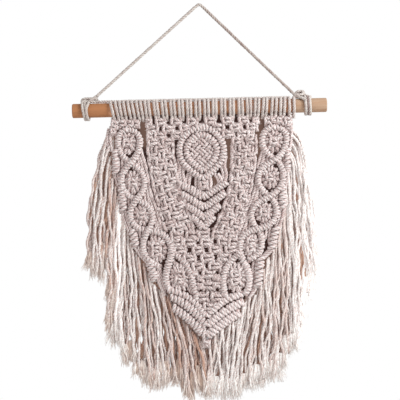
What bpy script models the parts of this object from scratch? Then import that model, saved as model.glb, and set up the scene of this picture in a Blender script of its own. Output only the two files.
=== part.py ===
"""Macrame wall hanging on a wooden dowel, with its hanger cord, as closed solids.

Units are metres with +Z up. The hanging faces -Y, the wall is on the +Y side, and the
origin is the point of the hanger that bears on a nail.

Sizes and places in the tables are millimetres on the hanging's own sheet:
  across  to the right of the dowel's middle
  drop    down from the top of the hanger
  front   towards the viewer from the dowel's axis
"""
import math
import random

import bmesh
import bpy
from mathutils import Vector

MM = 0.001
CLEARANCE = 0.3

# ---- Driving dimensions, millimetres ---------------------------------------------
CORD = 4.0

DOWEL_LENGTH = 305.0
DOWEL_DIAMETER = 17.0
DOWEL_DROP = 126.0
DOWEL_EASE = 0.9
DOWEL_SIDES = 28

HANGER_CORD = 3.8
HANGER_ACROSS = 2.5
HANGER_STEP = 8.0
BEARING_DROP = 3.8

HEAD_COUNT = 22
HEAD_PITCH = 10.2
HEAD_FIRST_EDGE = -109.0
HEAD_CORD_HEIGHT = 3.0
HEAD_SIDES = 9

PANEL_FRONT = 3.0
GROUND_DEPTH = 3.6
SHEET_FACE = PANEL_FRONT + GROUND_DEPTH / 2
RIDGE_RISE = 3.9
BAR_RISE = 3.5
BAND_RISE = 3.5
KNOT_RISE = 3.8
STRAND_RISE = 2.2

STRIP_WIDTH = 2.4
STRIP_DEPTH = 8.0
STRAND_WIDTH = 3.2
STRAND_DEPTH = 2.1
STRAND_LAYERS = (-2.6, 0.0, 2.6)
STRANDS_PER_SIDE = 44
FRINGE_SEED = 11


# ---- Frame and small helpers -----------------------------------------------------
def at(across, drop, front=0.0):
    """World point of a place on the sheet."""
    return Vector(((across - HANGER_ACROSS) * MM, -front * MM, (BEARING_DROP - drop) * MM))


def make_material(name, colour, roughness):
    material = bpy.data.materials.new(name)
    material.use_nodes = True
    shader = material.node_tree.nodes["Principled BSDF"]
    shader.inputs["Base Color"].default_value = (*colour, 1.0)
    shader.inputs["Roughness"].default_value = roughness
    shader.inputs["Metallic"].default_value = 0.0
    return material


def add_object(name, mesh, material):
    thing = bpy.data.objects.new(name, mesh)
    bpy.context.scene.collection.objects.link(thing)
    mesh.materials.append(material)
    return thing


def as_guide(thing):
    """Mark an object as one that only a Boolean reads."""
    thing.hide_render = True
    thing.display_type = "WIRE"
    return thing


def loft(name, rings, closed=False):
    """Closed mesh through rings of points; open lofts get a flat cap at each end."""
    shape = bmesh.new()
    loops = [[shape.verts.new(point) for point in ring] for ring in rings]
    pairs = list(zip(loops, loops[1:]))
    if closed:
        pairs.append((loops[-1], loops[0]))
    for near, far in pairs:
        for index in range(len(near)):
            following = (index + 1) % len(near)
            shape.faces.new((near[index], near[following], far[following], far[index]))
    if not closed:
        shape.faces.new(loops[0])
        shape.faces.new(loops[-1])
    bmesh.ops.recalc_face_normals(shape, faces=shape.faces)
    mesh = bpy.data.meshes.new(name)
    shape.to_mesh(mesh)
    shape.free()
    return mesh


def spline_point(before, start, end, after, part):
    """Smooth curve (Catmull-Rom) between start and end, for every column of the rows."""
    return tuple(
        0.5 * (2 * s + (e - b) * part + (2 * b - 5 * s + 4 * e - a) * part ** 2
               + (3 * s - b - 3 * e + a) * part ** 3)
        for b, s, e, a in zip(before, start, end, after))


def smooth_rows(rows, step, closed=False, even=False):
    """Rows read at equal steps along the smooth curve through the given rows."""
    count = len(rows)
    spans = count if closed else count - 1
    fine = []
    for span in range(spans):
        if closed:
            ends = [rows[(span + shift) % count] for shift in (-1, 0, 1, 2)]
        else:
            ends = [rows[min(max(span + shift, 0), count - 1)] for shift in (-1, 0, 1, 2)]
        fine += [spline_point(*ends, part / 12) for part in range(12)]
    fine.append(rows[0] if closed else rows[-1])
    lengths = [0.0]
    for near, far in zip(fine, fine[1:]):
        lengths.append(lengths[-1] + math.hypot(far[0] - near[0], far[1] - near[1]))
    steps = max(2, round(lengths[-1] / step))
    if even and steps % 2:
        steps += 1
    out = []
    index = 0
    for number in range(steps if closed else steps + 1):
        want = lengths[-1] * number / steps
        while index < len(lengths) - 2 and lengths[index + 1] < want:
            index += 1
        part = (want - lengths[index]) / max(lengths[index + 1] - lengths[index], 1e-9)
        out.append(tuple(n + (f - n) * part for n, f in zip(fine[index], fine[index + 1])))
    return out


def side_direction(samples, index, closed):
    """Unit direction across the path at one sample, in the sheet's plane."""
    if closed:
        near, far = samples[index - 1], samples[(index + 1) % len(samples)]
    else:
        near, far = samples[max(index - 1, 0)], samples[min(index + 1, len(samples) - 1)]
    along = Vector((far[0] - near[0], far[1] - near[1])).normalized()
    return Vector((along.y, -along.x))


# ---- Ridged bars and knots -------------------------------------------------------
# Sections are (place over half the width, height over the rise). Their feet stand on the
# front face of the sheet of strands, so a bar and the sheet become one body.
BAR_SECTION = ((-1.0, 0.0), (-0.64, 1.0), (0.64, 1.0), (1.0, 0.0))
BAND_PAIR = ((-1.0, 0.0), (-0.84, 0.8), (-0.45, 1.0), (0.0, 0.62), (0.45, 1.0), (0.84, 0.8),
             (1.0, 0.0))
BAND_SINGLE = ((-1.0, 0.0), (-0.84, 0.62), (-0.45, 0.7), (0.0, 1.0), (0.45, 0.7), (0.84, 0.62),
               (1.0, 0.0))


def section_ring(sample, side, section, rise, swell, front):
    """One ring of points: a section stood across the path at a sample."""
    across, drop, width = sample
    ring = []
    for place, height in section:
        out = place * width / 2 * (swell + 1.0) / 2
        lift = height * (rise * swell + front)
        ring.append(at(across + side.x * out, drop + side.y * out, SHEET_FACE + lift))
    return ring


# A bar's rows are (across, drop, width).
def ridged_bar(name, rows, rise, rib, groove=0.8, front=0.0, closed=False, end_scale=0.75):
    """A cord-wrapped bar: a section swept along the rows, swollen at each rib."""
    samples = smooth_rows(rows, rib / 2, closed, even=True)
    rings = []
    for index, sample in enumerate(samples):
        swell = 1.0 if index % 2 else groove
        if not closed and index in (0, len(samples) - 1):
            swell *= end_scale
        side = side_direction(samples, index, closed)
        rings.append(section_ring(sample, side, BAR_SECTION, rise, swell, front))
    return loft(name, rings, closed)


def knotted_band(name, rows, row_pitch, front=0.0):
    """Alternating square knots: a row of two knots, then a row of one, and so on."""
    samples = smooth_rows(rows, row_pitch / 2, even=True)
    rings = []
    for index, sample in enumerate(samples):
        section = BAND_SINGLE if index % 4 == 2 else BAND_PAIR
        swell = 0.76 if index % 2 else 1.0
        side = side_direction(samples, index, False)
        rings.append(section_ring(sample, side, section, BAND_RISE, swell, front))
    return loft(name, rings)


def ground_sheet(name, rows, depth):
    """The strands between the knots, as a thin sheet. Rows: drop, left edge, right edge."""
    rings = []
    for drop, left, right in rows:
        edge = min(1.4, (right - left) / 4)
        rings.append([at(left, drop, PANEL_FRONT), at(left + edge, drop, SHEET_FACE),
                      at(right - edge, drop, SHEET_FACE), at(right, drop, PANEL_FRONT),
                      at(right - edge, drop, PANEL_FRONT - depth / 2),
                      at(left + edge, drop, PANEL_FRONT - depth / 2)])
    return loft(name, rings)


def weave_pad(name, across, drop, half_width, half_height, cells, rise):
    """A lozenge of basket weave: raised cells in a diagonal grid over a flat underside."""
    shape = bmesh.new()
    count = 2 * cells
    top = {}
    for row in range(count + 1):
        for column in range(count + 1):
            u = column / count - 0.5
            v = row / count - 0.5
            rim = row in (0, count) or column in (0, count)
            height = 0.5 if rim else 1.0 if row % 2 and column % 2 else 0.66
            top[row, column] = shape.verts.new(at(across + (u - v) * half_width,
                                                  drop + (u + v) * half_height,
                                                  SHEET_FACE + height * rise))
    for row in range(count):
        for column in range(count):
            corners = ((row, column), (row, column + 1), (row + 1, column + 1), (row + 1, column))
            shape.faces.new([top[corner] for corner in corners])
    edge = ([(0, column) for column in range(count)] + [(row, count) for row in range(count)]
            + [(count, column) for column in range(count, 0, -1)]
            + [(row, 0) for row in range(count, 0, -1)])
    under = []
    for corner in edge:
        spot = top[corner].co.copy()
        spot.y = at(0.0, 0.0, SHEET_FACE).y
        under.append(shape.verts.new(spot))
    for index, corner in enumerate(edge):
        following = (index + 1) % len(edge)
        shape.faces.new((top[corner], top[edge[following]], under[following], under[index]))
    shape.faces.new(under)
    bmesh.ops.recalc_face_normals(shape, faces=shape.faces)
    mesh = bpy.data.meshes.new(name)
    shape.to_mesh(mesh)
    shape.free()
    return mesh


def oval_rows(across, drop, half_width, half_height, width, points=8, square=0.12):
    """Rows of a rounded lozenge ring."""
    rows = []
    for number in range(points):
        angle = math.tau * number / points
        pull = 1.0 - square * abs(math.sin(2 * angle))
        rows.append((across + half_width * pull * math.sin(angle),
                     drop - half_height * pull * math.cos(angle), width))
    return rows


# Columns: drop, left edge, right edge.
GROUND = (
    (138.4, -105.0, 110.0), (148.0, -104.8, 109.0), (160.0, -105.4, 109.0), (176.0, -105.0, 107.5),
    (203.0, -104.6, 106.6), (212.0, -102.5, 104.0), (221.0, -99.6, 101.6), (249.0, -97.4, 100.4),
    (259.0, -93.0, 96.0), (271.0, -88.6, 92.2), (292.0, -83.4, 87.0), (302.0, -76.0, 83.0),
    (311.0, -70.4, 75.0), (331.0, -64.5, 71.0), (338.0, -55.0, 70.0), (346.0, -46.0, 66.0),
    (350.0, -42.0, 53.5), (370.0, -37.0, 48.5), (379.0, -28.0, 39.0), (391.0, -15.0, 22.0),
    (401.0, -7.0, 11.0), (411.0, -3.0, 6.0),
)

# Columns: name, rows of (across, drop, width).
TOP_ROWS = (
    ("row_one", ((-65.0, 142.6, 9.0), (69.0, 142.6, 9.0))),
    ("row_two", ((-65.0, 151.2, 9.2), (69.0, 151.2, 9.2))),
)
ROW_RIB = 20.2

SIDE_TOPS = (
    ("side_top_left", ((-105.0, 142.8, 8.4), (-70.5, 142.8, 8.4))),
    ("side_top_right", ((76.0, 142.8, 8.4), (109.0, 142.8, 8.4))),
)
SIDE_TOP_RIB = 11.0

BANDS = (
    ("band_left", ((-44.5, 156.2, 40.0), (-46.0, 163.0, 36.5), (-47.6, 172.0, 33.0),
                   (-47.6, 186.0, 33.0), (-44.5, 208.0, 34.5), (-40.5, 226.0, 34.5),
                   (-36.0, 241.0, 36.0), (-31.0, 256.0, 37.0), (-24.0, 274.0, 36.0))),
    ("band_right", ((49.5, 156.2, 39.0), (51.0, 163.0, 35.5), (52.2, 172.0, 32.0),
                    (51.2, 190.0, 30.5), (49.6, 206.0, 29.5), (47.0, 221.0, 29.0),
                    (42.6, 239.0, 29.5), (36.5, 256.0, 30.0), (29.0, 274.0, 31.0))),
    ("lower_field", ((3.0, 278.0, 76.0), (3.0, 290.0, 72.0), (2.5, 300.0, 62.0),
                     (5.0, 312.0, 44.0), (6.6, 328.0, 31.0), (6.6, 345.0, 26.0),
                     (6.0, 356.0, 24.0))),
)
BAND_ROW_PITCH = 9.6

# Columns: name, across, drop, half_width, half_height, bar width, rib.
RINGS = (
    ("medallion_outer", 2.5, 179.0, 24.0, 28.5, 7.2, 8.0),
    ("medallion_inner", 2.5, 179.0, 16.4, 20.5, 6.6, 8.0),
)
WEAVE = dict(across=2.5, drop=179.0, half_width=12.6, half_height=16.6, cells=3, rise=4.2)

# Columns: name, rows of (across, drop, width).
CHEVRONS = (
    ("chevron_one", ((-25.0, 221.0, 8.1), (-12.0, 228.0, 8.9), (3.0, 235.0, 9.6),
                     (17.0, 228.5, 8.9), (31.0, 220.0, 8.1))),
    ("chevron_two", ((-20.0, 234.0, 8.1), (-9.0, 240.0, 8.9), (3.0, 246.5, 9.6),
                     (14.0, 240.5, 8.9), (27.0, 233.0, 8.1))),
    ("chevron_three", ((-16.0, 246.0, 8.1), (-7.0, 251.5, 8.9), (2.5, 258.0, 9.6),
                       (12.0, 252.0, 8.9), (22.0, 246.0, 8.1))),
    ("chevron_four", ((-12.0, 257.0, 8.1), (-5.0, 262.0, 9.1), (1.5, 269.5, 10.6),
                      (7.5, 263.0, 9.1), (14.0, 257.0, 8.1))),
    ("bottom_vee_one", ((-38.0, 350.0, 9.1), (-22.0, 357.5, 10.2), (-8.0, 368.0, 10.6),
                        (1.0, 375.0, 11.2), (12.0, 368.0, 10.6), (28.0, 360.5, 10.2),
                        (48.0, 353.0, 9.1))),
    ("bottom_vee_two", ((-36.0, 361.0, 9.1), (-21.0, 369.0, 10.2), (-8.0, 379.5, 10.6),
                        (1.5, 387.0, 11.2), (13.0, 379.5, 10.6), (28.0, 371.5, 10.2),
                        (47.5, 364.0, 9.1))),
    ("bottom_vee_three", ((-33.0, 371.5, 9.1), (-20.0, 379.0, 9.8), (-8.0, 389.5, 10.2),
                          (2.0, 399.0, 12.2), (14.0, 390.5, 10.2), (27.0, 382.5, 9.8),
                          (42.0, 375.0, 8.7))),
)
CHEVRON_RIB = 8.2

# Columns: name, rows of (across, drop, width).
CHAIN_RIDGES = (
    ("ridge_left_in_out", ((-86.0, 150.0, 8.0), (-76.5, 155.5, 8.2), (-74.0, 165.0, 8.4),
                           (-78.0, 176.5, 8.4), (-86.0, 188.0, 8.4), (-91.6, 200.0, 8.4),
                           (-91.4, 214.0, 8.4), (-87.0, 226.0, 8.4), (-77.0, 235.0, 8.4),
                           (-64.5, 242.0, 8.4), (-60.0, 252.0, 8.4), (-62.0, 265.0, 8.4),
                           (-68.0, 281.0, 8.4), (-67.5, 297.0, 8.4), (-61.0, 308.5, 8.2),
                           (-51.0, 313.5, 8.0))),
    ("ridge_left_out_in", ((-86.5, 150.5, 8.0), (-96.0, 156.0, 8.2), (-97.6, 166.0, 8.4),
                           (-93.0, 178.0, 8.4), (-86.0, 188.5, 8.4), (-75.0, 196.5, 8.4),
                           (-69.6, 207.0, 8.4), (-70.0, 220.0, 8.4), (-75.0, 231.0, 8.4),
                           (-82.5, 240.5, 8.4), (-83.4, 252.0, 8.4), (-77.5, 264.0, 8.4),
                           (-66.0, 271.0, 8.4), (-53.0, 276.0, 8.4), (-43.0, 286.0, 8.7),
                           (-39.0, 299.0, 8.7), (-42.5, 313.0, 8.7), (-44.5, 327.0, 8.7),
                           (-40.5, 341.0, 8.4))),
    ("ridge_left_last", ((-40.0, 298.0, 8.2), (-28.0, 304.5, 8.7), (-17.0, 315.0, 8.7),
                         (-12.5, 330.0, 8.7), (-10.0, 347.0, 8.4), (-10.0, 359.0, 8.0))),
    ("ridge_right_in_out", ((88.0, 151.5, 8.0), (78.0, 157.0, 8.2), (75.6, 168.0, 8.4),
                            (80.0, 180.0, 8.4), (88.0, 190.5, 8.4), (93.2, 201.0, 8.4),
                            (93.0, 213.0, 8.4), (89.0, 223.5, 8.4), (81.0, 231.5, 8.4),
                            (70.0, 238.0, 8.4), (63.8, 247.5, 8.4), (64.5, 259.0, 8.4),
                            (68.5, 270.0, 8.4), (71.0, 283.0, 8.4), (69.5, 296.0, 8.4),
                            (63.0, 306.0, 8.2), (54.0, 311.0, 8.0))),
    ("ridge_right_out_in", ((88.5, 152.0, 8.0), (98.8, 157.5, 8.2), (100.4, 168.0, 8.4),
                            (96.0, 180.5, 8.4), (88.0, 190.0, 8.4), (78.5, 196.5, 8.4),
                            (73.8, 207.0, 8.4), (75.0, 219.0, 8.4), (80.5, 229.0, 8.4),
                            (85.6, 239.0, 8.4), (85.4, 251.0, 8.4), (80.5, 262.5, 8.4),
                            (70.0, 270.5, 8.4), (57.0, 275.5, 8.4), (47.5, 284.0, 8.7),
                            (44.5, 296.0, 8.7), (47.0, 309.0, 8.7), (53.5, 321.0, 8.7),
                            (54.0, 334.0, 8.7), (49.0, 347.0, 8.4))),
    ("ridge_right_last", ((45.0, 301.0, 8.2), (34.0, 310.0, 8.7), (25.5, 321.0, 8.7),
                          (22.5, 334.0, 8.7), (24.0, 347.0, 8.4), (26.0, 359.0, 8.0))),
)
RIDGE_RIB = 10.8

# Columns: name, across, drop, width, height.
LOZENGE_KNOTS = (
    ("knot_left_one", -86.0, 166.0, 15.6, 21.0),
    ("knot_left_two", -80.6, 213.5, 14.0, 21.0),
    ("knot_left_three", -71.8, 252.5, 15.6, 20.0),
    ("knot_left_four", -54.0, 295.0, 20.0, 26.0),
    ("knot_left_five", -27.5, 329.0, 24.0, 34.0),
    ("knot_right_one", 88.0, 168.0, 16.0, 22.0),
    ("knot_right_two", 83.4, 211.0, 11.6, 20.0),
    ("knot_right_three", 74.8, 251.0, 13.0, 20.0),
    ("knot_right_four", 57.6, 293.0, 17.6, 24.0),
    ("knot_right_five", 38.5, 333.0, 22.0, 33.0),
    ("knot_under_medallion", 3.0, 218.5, 12.0, 13.0),
    ("knot_at_tip", 1.5, 406.0, 14.0, 17.0),
)

# Columns: name, rows of (across, drop, width).
OUTER_COLUMNS = (
    ("column_left_one", ((-102.0, 174.5, 9.2), (-101.6, 204.0, 9.2))),
    ("column_left_two", ((-95.6, 219.0, 10.1), (-93.6, 249.0, 10.1))),
    ("column_left_three", ((-84.5, 271.0, 9.9), (-79.0, 292.0, 10.3))),
    ("column_left_four", ((-64.0, 309.0, 12.1), (-57.5, 332.0, 13.2))),
    ("column_right_one", ((103.6, 179.0, 8.8), (103.4, 203.0, 8.8))),
    ("column_right_two", ((97.4, 224.0, 9.9), (96.4, 251.0, 9.9))),
    ("column_right_three", ((88.0, 271.5, 9.9), (81.5, 299.0, 10.6))),
    ("column_right_four", ((68.5, 307.0, 11.0), (64.2, 343.0, 12.0))),
)
COLUMN_RIB = 7.2

# Columns: name, rows of (across, drop, width).
LINK_STRANDS = (
    ("link_left_top", ((-103.6, 146.0, 4.0), (-103.8, 160.0, 4.4), (-102.4, 176.0, 4.0))),
    ("link_left_one", ((-101.4, 202.0, 4.2), (-99.6, 212.0, 4.2), (-96.0, 221.0, 4.2))),
    ("link_left_two", ((-93.6, 247.0, 4.2), (-91.0, 259.0, 4.2), (-86.0, 273.0, 4.2))),
    ("link_left_three", ((-79.5, 290.0, 5.0), (-73.0, 301.0, 5.0), (-64.5, 311.0, 5.0))),
    ("link_right_top", ((107.0, 146.0, 4.6), (107.4, 162.0, 5.6), (104.4, 181.0, 4.6))),
    ("link_right_one", ((103.0, 201.0, 4.2), (101.0, 213.0, 4.2), (98.0, 226.0, 4.2))),
    ("link_right_two", ((96.2, 249.0, 4.2), (93.6, 261.0, 4.2), (88.6, 273.0, 4.2))),
    ("link_right_three", ((82.0, 297.0, 5.0), (76.0, 303.0, 5.0), (69.0, 309.0, 5.0))),
    ("beside_band_left", ((-73.0, 180.0, 4.4), (-67.6, 196.0, 4.4), (-65.0, 213.0, 4.4),
                          (-62.0, 230.0, 4.4))),
    ("beside_band_right", ((77.0, 182.0, 4.4), (70.6, 196.0, 4.4), (68.0, 212.0, 4.4),
                           (64.6, 230.0, 4.4))),
    ("under_medallion_left", ((-13.0, 203.0, 4.6), (-17.0, 212.0, 4.6), (-18.0, 222.0, 4.6))),
    ("under_medallion_right", ((18.0, 205.0, 4.6), (22.5, 213.0, 4.6), (23.5, 221.0, 4.6))),
)
STRAND_RIB = 24.0

# Openings over 4 mm. Columns: across, drop, width, height, lean in degrees.
HOLES = (
    (-56.0, 142.4, 4.2, 5.0, 0), (-37.5, 142.4, 4.6, 5.6, 0), (-17.8, 142.6, 4.0, 6.0, 0),
    (1.5, 142.6, 4.0, 6.0, 0), (23.0, 142.6, 5.0, 6.0, 0), (43.5, 142.6, 4.0, 6.0, 0),
    (62.0, 142.4, 4.0, 6.0, 0), (-47.5, 150.8, 4.6, 5.0, 0), (-27.5, 150.8, 4.2, 4.8, 0),
    (33.0, 150.8, 4.6, 5.0, 0), (52.5, 150.8, 4.2, 4.8, 0),
    (-37.0, 158.8, 4.4, 4.6, 0), (42.5, 160.0, 4.4, 4.6, 0), (-47.5, 166.0, 4.8, 4.8, 0),
    (52.5, 169.0, 4.4, 5.8, 0), (-47.0, 182.0, 4.8, 4.8, 0), (-46.0, 197.5, 4.8, 4.8, 0),
    (-43.0, 213.5, 4.8, 4.8, 0), (-40.5, 229.0, 4.8, 4.8, 0), (-36.5, 245.0, 4.8, 4.8, 0),
    (-30.0, 262.0, 4.8, 4.8, 0), (53.0, 185.5, 4.8, 4.8, 0), (52.5, 201.0, 4.8, 4.8, 0),
    (50.5, 216.0, 4.8, 4.8, 0), (47.5, 231.5, 4.8, 4.8, 0), (43.0, 248.0, 4.8, 4.8, 0),
    (-67.3, 155.0, 5.0, 52.0, 0), (71.6, 156.0, 5.0, 56.0, 4), (-28.6, 176.5, 5.2, 26.0, -4),
    (33.4, 184.0, 5.2, 42.0, 0), (-9.0, 214.0, 6.4, 13.0, -25), (14.8, 216.0, 6.4, 12.0, 22),
    (-104.2, 167.0, 4.4, 15.0, 0), (-87.6, 267.0, 5.0, 20.0, -8), (101.6, 218.0, 5.4, 12.0, 14),
    (91.0, 265.0, 6.0, 14.0, 18), (-16.4, 243.0, 4.4, 7.0, -30), (16.5, 247.0, 5.0, 6.6, 20),
    (17.8, 261.0, 5.4, 13.0, 14), (10.4, 273.0, 6.4, 9.0, 15), (-7.4, 272.0, 4.6, 7.0, -10),
    (-22.5, 278.0, 6.0, 4.2, 30), (-16.0, 295.0, 6.4, 9.0, 0), (-5.6, 307.0, 5.4, 5.8, 0),
    (4.4, 316.2, 5.0, 6.2, -12), (15.6, 325.0, 4.6, 6.8, 0), (6.0, 333.0, 7.0, 4.4, -30),
    (-3.6, 343.0, 7.0, 4.6, 0), (16.0, 341.5, 5.0, 7.0, 15), (25.5, 292.0, 4.6, 9.0, 0),
    (15.5, 304.0, 4.4, 7.0, -30), (-14.6, 355.0, 5.4, 5.0, 0), (6.0, 364.0, 4.6, 5.0, 0),
    (-87.4, 188.0, 4.6, 5.0, 0), (-67.6, 275.2, 5.0, 4.8, 0), (62.4, 271.5, 5.0, 5.0, 0),
    (42.0, 314.0, 4.4, 8.0, -5), (-54.0, 320.0, 4.4, 15.0, 38), (61.5, 328.0, 4.4, 16.0, -34),
)
LONG_HOLE = 8.5
HOLE_TURN = 0.06


def hole_prism(across, drop, width, height, lean):
    """A prism that runs past both faces of the sheet: a lozenge, or six-sided if long."""
    turn = math.radians(lean)
    sides = 6 if height > LONG_HOLE else 4
    rings = []
    for front in (PANEL_FRONT - 8.0, PANEL_FRONT + 8.0):
        ring = []
        for corner in range(sides):
            angle = math.tau * corner / sides + HOLE_TURN
            u = width / 2 * math.cos(angle)
            v = height / 2 * math.sin(angle)
            ring.append(at(across + u * math.cos(turn) - v * math.sin(turn),
                           drop + u * math.sin(turn) + v * math.cos(turn), front))
        rings.append(ring)
    return loft("hole", rings)


def join_meshes(name, meshes):
    """One mesh of several bodies that stand apart."""
    shape = bmesh.new()
    for mesh in meshes:
        shape.from_mesh(mesh)
    joined = bpy.data.meshes.new(name)
    shape.to_mesh(joined)
    shape.free()
    for mesh in meshes:
        bpy.data.meshes.remove(mesh)
    return joined


def add_boolean(thing, operation, collection=None, cutter=None):
    """A Boolean modifier that joins a collection of guides, or cuts one of them away."""
    modifier = thing.modifiers.new(operation.lower(), "BOOLEAN")
    modifier.operation = operation
    modifier.solver = "EXACT"
    if collection:
        modifier.operand_type = "COLLECTION"
        modifier.collection = collection
    else:
        modifier.object = cutter
    return modifier


def add_guides(name, meshes, material):
    """A collection of guide objects, one for each mesh."""
    group = bpy.data.collections.new(name)
    bpy.context.scene.collection.children.link(group)
    for mesh in meshes:
        guide = bpy.data.objects.new(mesh.name, mesh)
        mesh.materials.append(material)
        group.objects.link(as_guide(guide))
    return group


def panel_pieces():
    """Every knot, bar and linking strand of the sheet."""
    pieces = [ridged_bar(name, rows, BAR_RISE, ROW_RIB) for name, rows in TOP_ROWS]
    pieces += [ridged_bar(name, rows, BAR_RISE, SIDE_TOP_RIB) for name, rows in SIDE_TOPS]
    pieces += [knotted_band(name, rows, BAND_ROW_PITCH) for name, rows in BANDS]
    for name, across, drop, half_width, half_height, width, rib in RINGS:
        rows = oval_rows(across, drop, half_width, half_height, width)
        pieces.append(ridged_bar(name, rows, RIDGE_RISE, rib, closed=True))
    pieces.append(weave_pad("medallion_weave", **WEAVE))
    pieces += [ridged_bar(name, rows, BAR_RISE, CHEVRON_RIB) for name, rows in CHEVRONS]
    pieces += [ridged_bar(name, rows, RIDGE_RISE, RIDGE_RIB, front=0.13 * number)
               for number, (name, rows) in enumerate(CHAIN_RIDGES)]
    for name, across, drop, width, height in LOZENGE_KNOTS:
        rows = ((across, drop - height / 2, 0.5 * width), (across, drop - height / 4, width),
                (across, drop + height / 4, width), (across, drop + height / 2, 0.5 * width))
        pieces.append(ridged_bar(name, rows, KNOT_RISE, height / 2.2))
    pieces += [ridged_bar(name, rows, BAND_RISE, COLUMN_RIB) for name, rows in OUTER_COLUMNS]
    pieces += [ridged_bar(name, rows, STRAND_RISE, STRAND_RIB, groove=0.96, end_scale=0.9)
               for name, rows in LINK_STRANDS]
    return pieces


def build_panel(material):
    panel = add_object("knotted_panel", ground_sheet("ground", GROUND, GROUND_DEPTH), material)
    group = add_guides("knots_and_bars", panel_pieces(), material)
    add_boolean(panel, "UNION", collection=group)
    holes = join_meshes("panel_holes", [hole_prism(*hole) for hole in HOLES])
    cutter = as_guide(add_object("panel_holes", holes, material))
    add_boolean(panel, "DIFFERENCE", cutter=cutter)
    return panel


# ---- Fringe ----------------------------------------------------------------------
# Columns: root across, root drop, end across, end drop. The roots run down the backing strip.
LEFT_FRINGE = (
    (-107.7, 150.0, -136.0, 312.0), (-108.8, 176.0, -124.0, 322.0),
    (-108.8, 203.0, -114.0, 352.0), (-103.2, 220.0, -112.0, 390.0),
    (-101.4, 248.0, -104.0, 408.0), (-92.4, 270.0, -94.0, 420.0),
    (-86.8, 291.0, -82.0, 440.0), (-78.4, 303.4, -68.0, 452.0),
    (-73.0, 313.0, -60.0, 456.0), (-66.8, 333.2, -50.0, 452.0),
    (-56.8, 341.2, -40.0, 450.0), (-47.6, 348.2, -33.0, 452.0),
    (-43.8, 354.0, -27.0, 466.0), (-39.6, 372.2, -20.0, 466.0),
    (-29.8, 381.2, -14.0, 460.0), (-17.0, 393.2, -6.0, 462.0),
    (-9.6, 403.0, -3.0, 468.0), (-8.4, 411.0, -1.0, 470.0),
)
RIGHT_FRINGE = (
    (112.0, 150.0, 137.0, 322.0), (111.8, 164.0, 132.0, 334.0),
    (110.8, 180.0, 128.0, 346.0), (109.8, 203.0, 118.0, 380.0),
    (104.8, 221.0, 109.0, 404.0), (103.4, 249.0, 98.0, 412.0),
    (95.8, 270.0, 90.0, 436.0), (90.0, 295.0, 84.0, 446.0),
    (86.4, 303.6, 80.0, 448.0), (77.6, 312.8, 70.0, 446.0),
    (74.1, 330.0, 62.0, 458.0), (75.0, 341.0, 58.0, 459.0),
    (68.6, 349.4, 52.0, 460.0), (57.4, 352.8, 46.0, 460.0),
    (51.6, 371.4, 35.0, 465.0), (42.8, 382.2, 28.0, 470.0),
    (23.8, 393.0, 16.0, 471.0), (13.8, 402.6, 9.0, 468.0),
    (11.4, 411.0, 6.0, 466.0),
)
STRIP_STEP = 6.0


def strand_mesh(root, end, layer, width):
    """A three-sided strand that leaves its root outwards and then hangs down."""
    rings = []
    for part in (0.0, 0.16, 0.48, 1.0):
        lean = 1.0 - (1.0 - part) ** 1.8
        across = root[0] + (end[0] - root[0]) * lean
        drop = root[1] + (end[1] - root[1]) * part
        half = width / 2 * (0.75 if part == 1.0 else 1.0)
        front = PANEL_FRONT + layer
        rings.append([at(across - half, drop, front - STRAND_DEPTH / 2),
                      at(across + half, drop, front - STRAND_DEPTH / 2),
                      at(across, drop, front + STRAND_DEPTH / 2)])
    return loft("strand", rings)


def build_fringe(name, rows, material):
    """The backing strip, and the strands that hang from it in three layers."""
    strip_rows = [(root_across, root_drop, STRIP_WIDTH) for root_across, root_drop, *_ in rows]
    samples = smooth_rows(strip_rows, STRIP_STEP)
    rings = []
    for index, (across, drop, width) in enumerate(samples):
        side = side_direction(samples, index, False)
        rings.append([at(across + side.x * out, drop + side.y * out, PANEL_FRONT + front)
                      for out, front in ((-width / 2, -STRIP_DEPTH / 2), (width / 2, -STRIP_DEPTH / 2),
                                         (width / 2, STRIP_DEPTH / 2), (-width / 2, STRIP_DEPTH / 2))])
    strip = add_object(name, loft(name, rings), material)
    chance = random.Random(FRINGE_SEED)
    plan = smooth_rows(rows, 0.5)
    strands = []
    for number in range(STRANDS_PER_SIDE):
        along = (number + 0.5) / STRANDS_PER_SIDE
        root_across, root_drop, end_across, end_drop = plan[int(along * len(plan))]
        end_drop += chance.uniform(-7.0, 5.0)
        width = STRAND_WIDTH * chance.uniform(0.9, 1.05)
        layer = STRAND_LAYERS[number % len(STRAND_LAYERS)]
        strands.append(strand_mesh((root_across, root_drop), (end_across, end_drop), layer, width))
    group = add_guides(name + "_strands", strands, material)
    add_boolean(strip, "UNION", collection=group)
    return strip


# ---- Dowel, lark's heads and hanger ----------------------------------------------
def turned(profile, sides):
    """A closed body of revolution round the dowel's axis. Profile rows: across, radius."""
    rings = []
    for across, radius in profile:
        rings.append([at(across, DOWEL_DROP + radius * math.cos(math.tau * side / sides),
                         radius * math.sin(math.tau * side / sides)) for side in range(sides)])
    return rings


def build_dowel(material):
    half = DOWEL_LENGTH / 2
    radius = DOWEL_DIAMETER / 2
    profile = ((-half, radius - DOWEL_EASE), (-half + DOWEL_EASE, radius),
               (half - DOWEL_EASE, radius), (half, radius - DOWEL_EASE))
    mesh = loft("dowel", turned(profile, DOWEL_SIDES))
    dowel = add_object("dowel", mesh, material)
    mesh.shade_smooth()
    mesh.set_sharp_from_angle(angle=math.radians(30))
    return dowel


def bore_radius(sides):
    """Corner radius of a many-sided bore whose flats clear the dowel."""
    return (DOWEL_DIAMETER / 2 + CLEARANCE) / math.cos(math.pi / sides)


def sleeve(name, outer_profile, sides):
    """A turned sleeve that clears the dowel, with the given outer profile."""
    inner = bore_radius(sides)
    profile = list(outer_profile)
    profile += [(outer_profile[-1][0], inner), (outer_profile[0][0], inner)]
    return loft(name, turned(profile, sides), closed=True)


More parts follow.
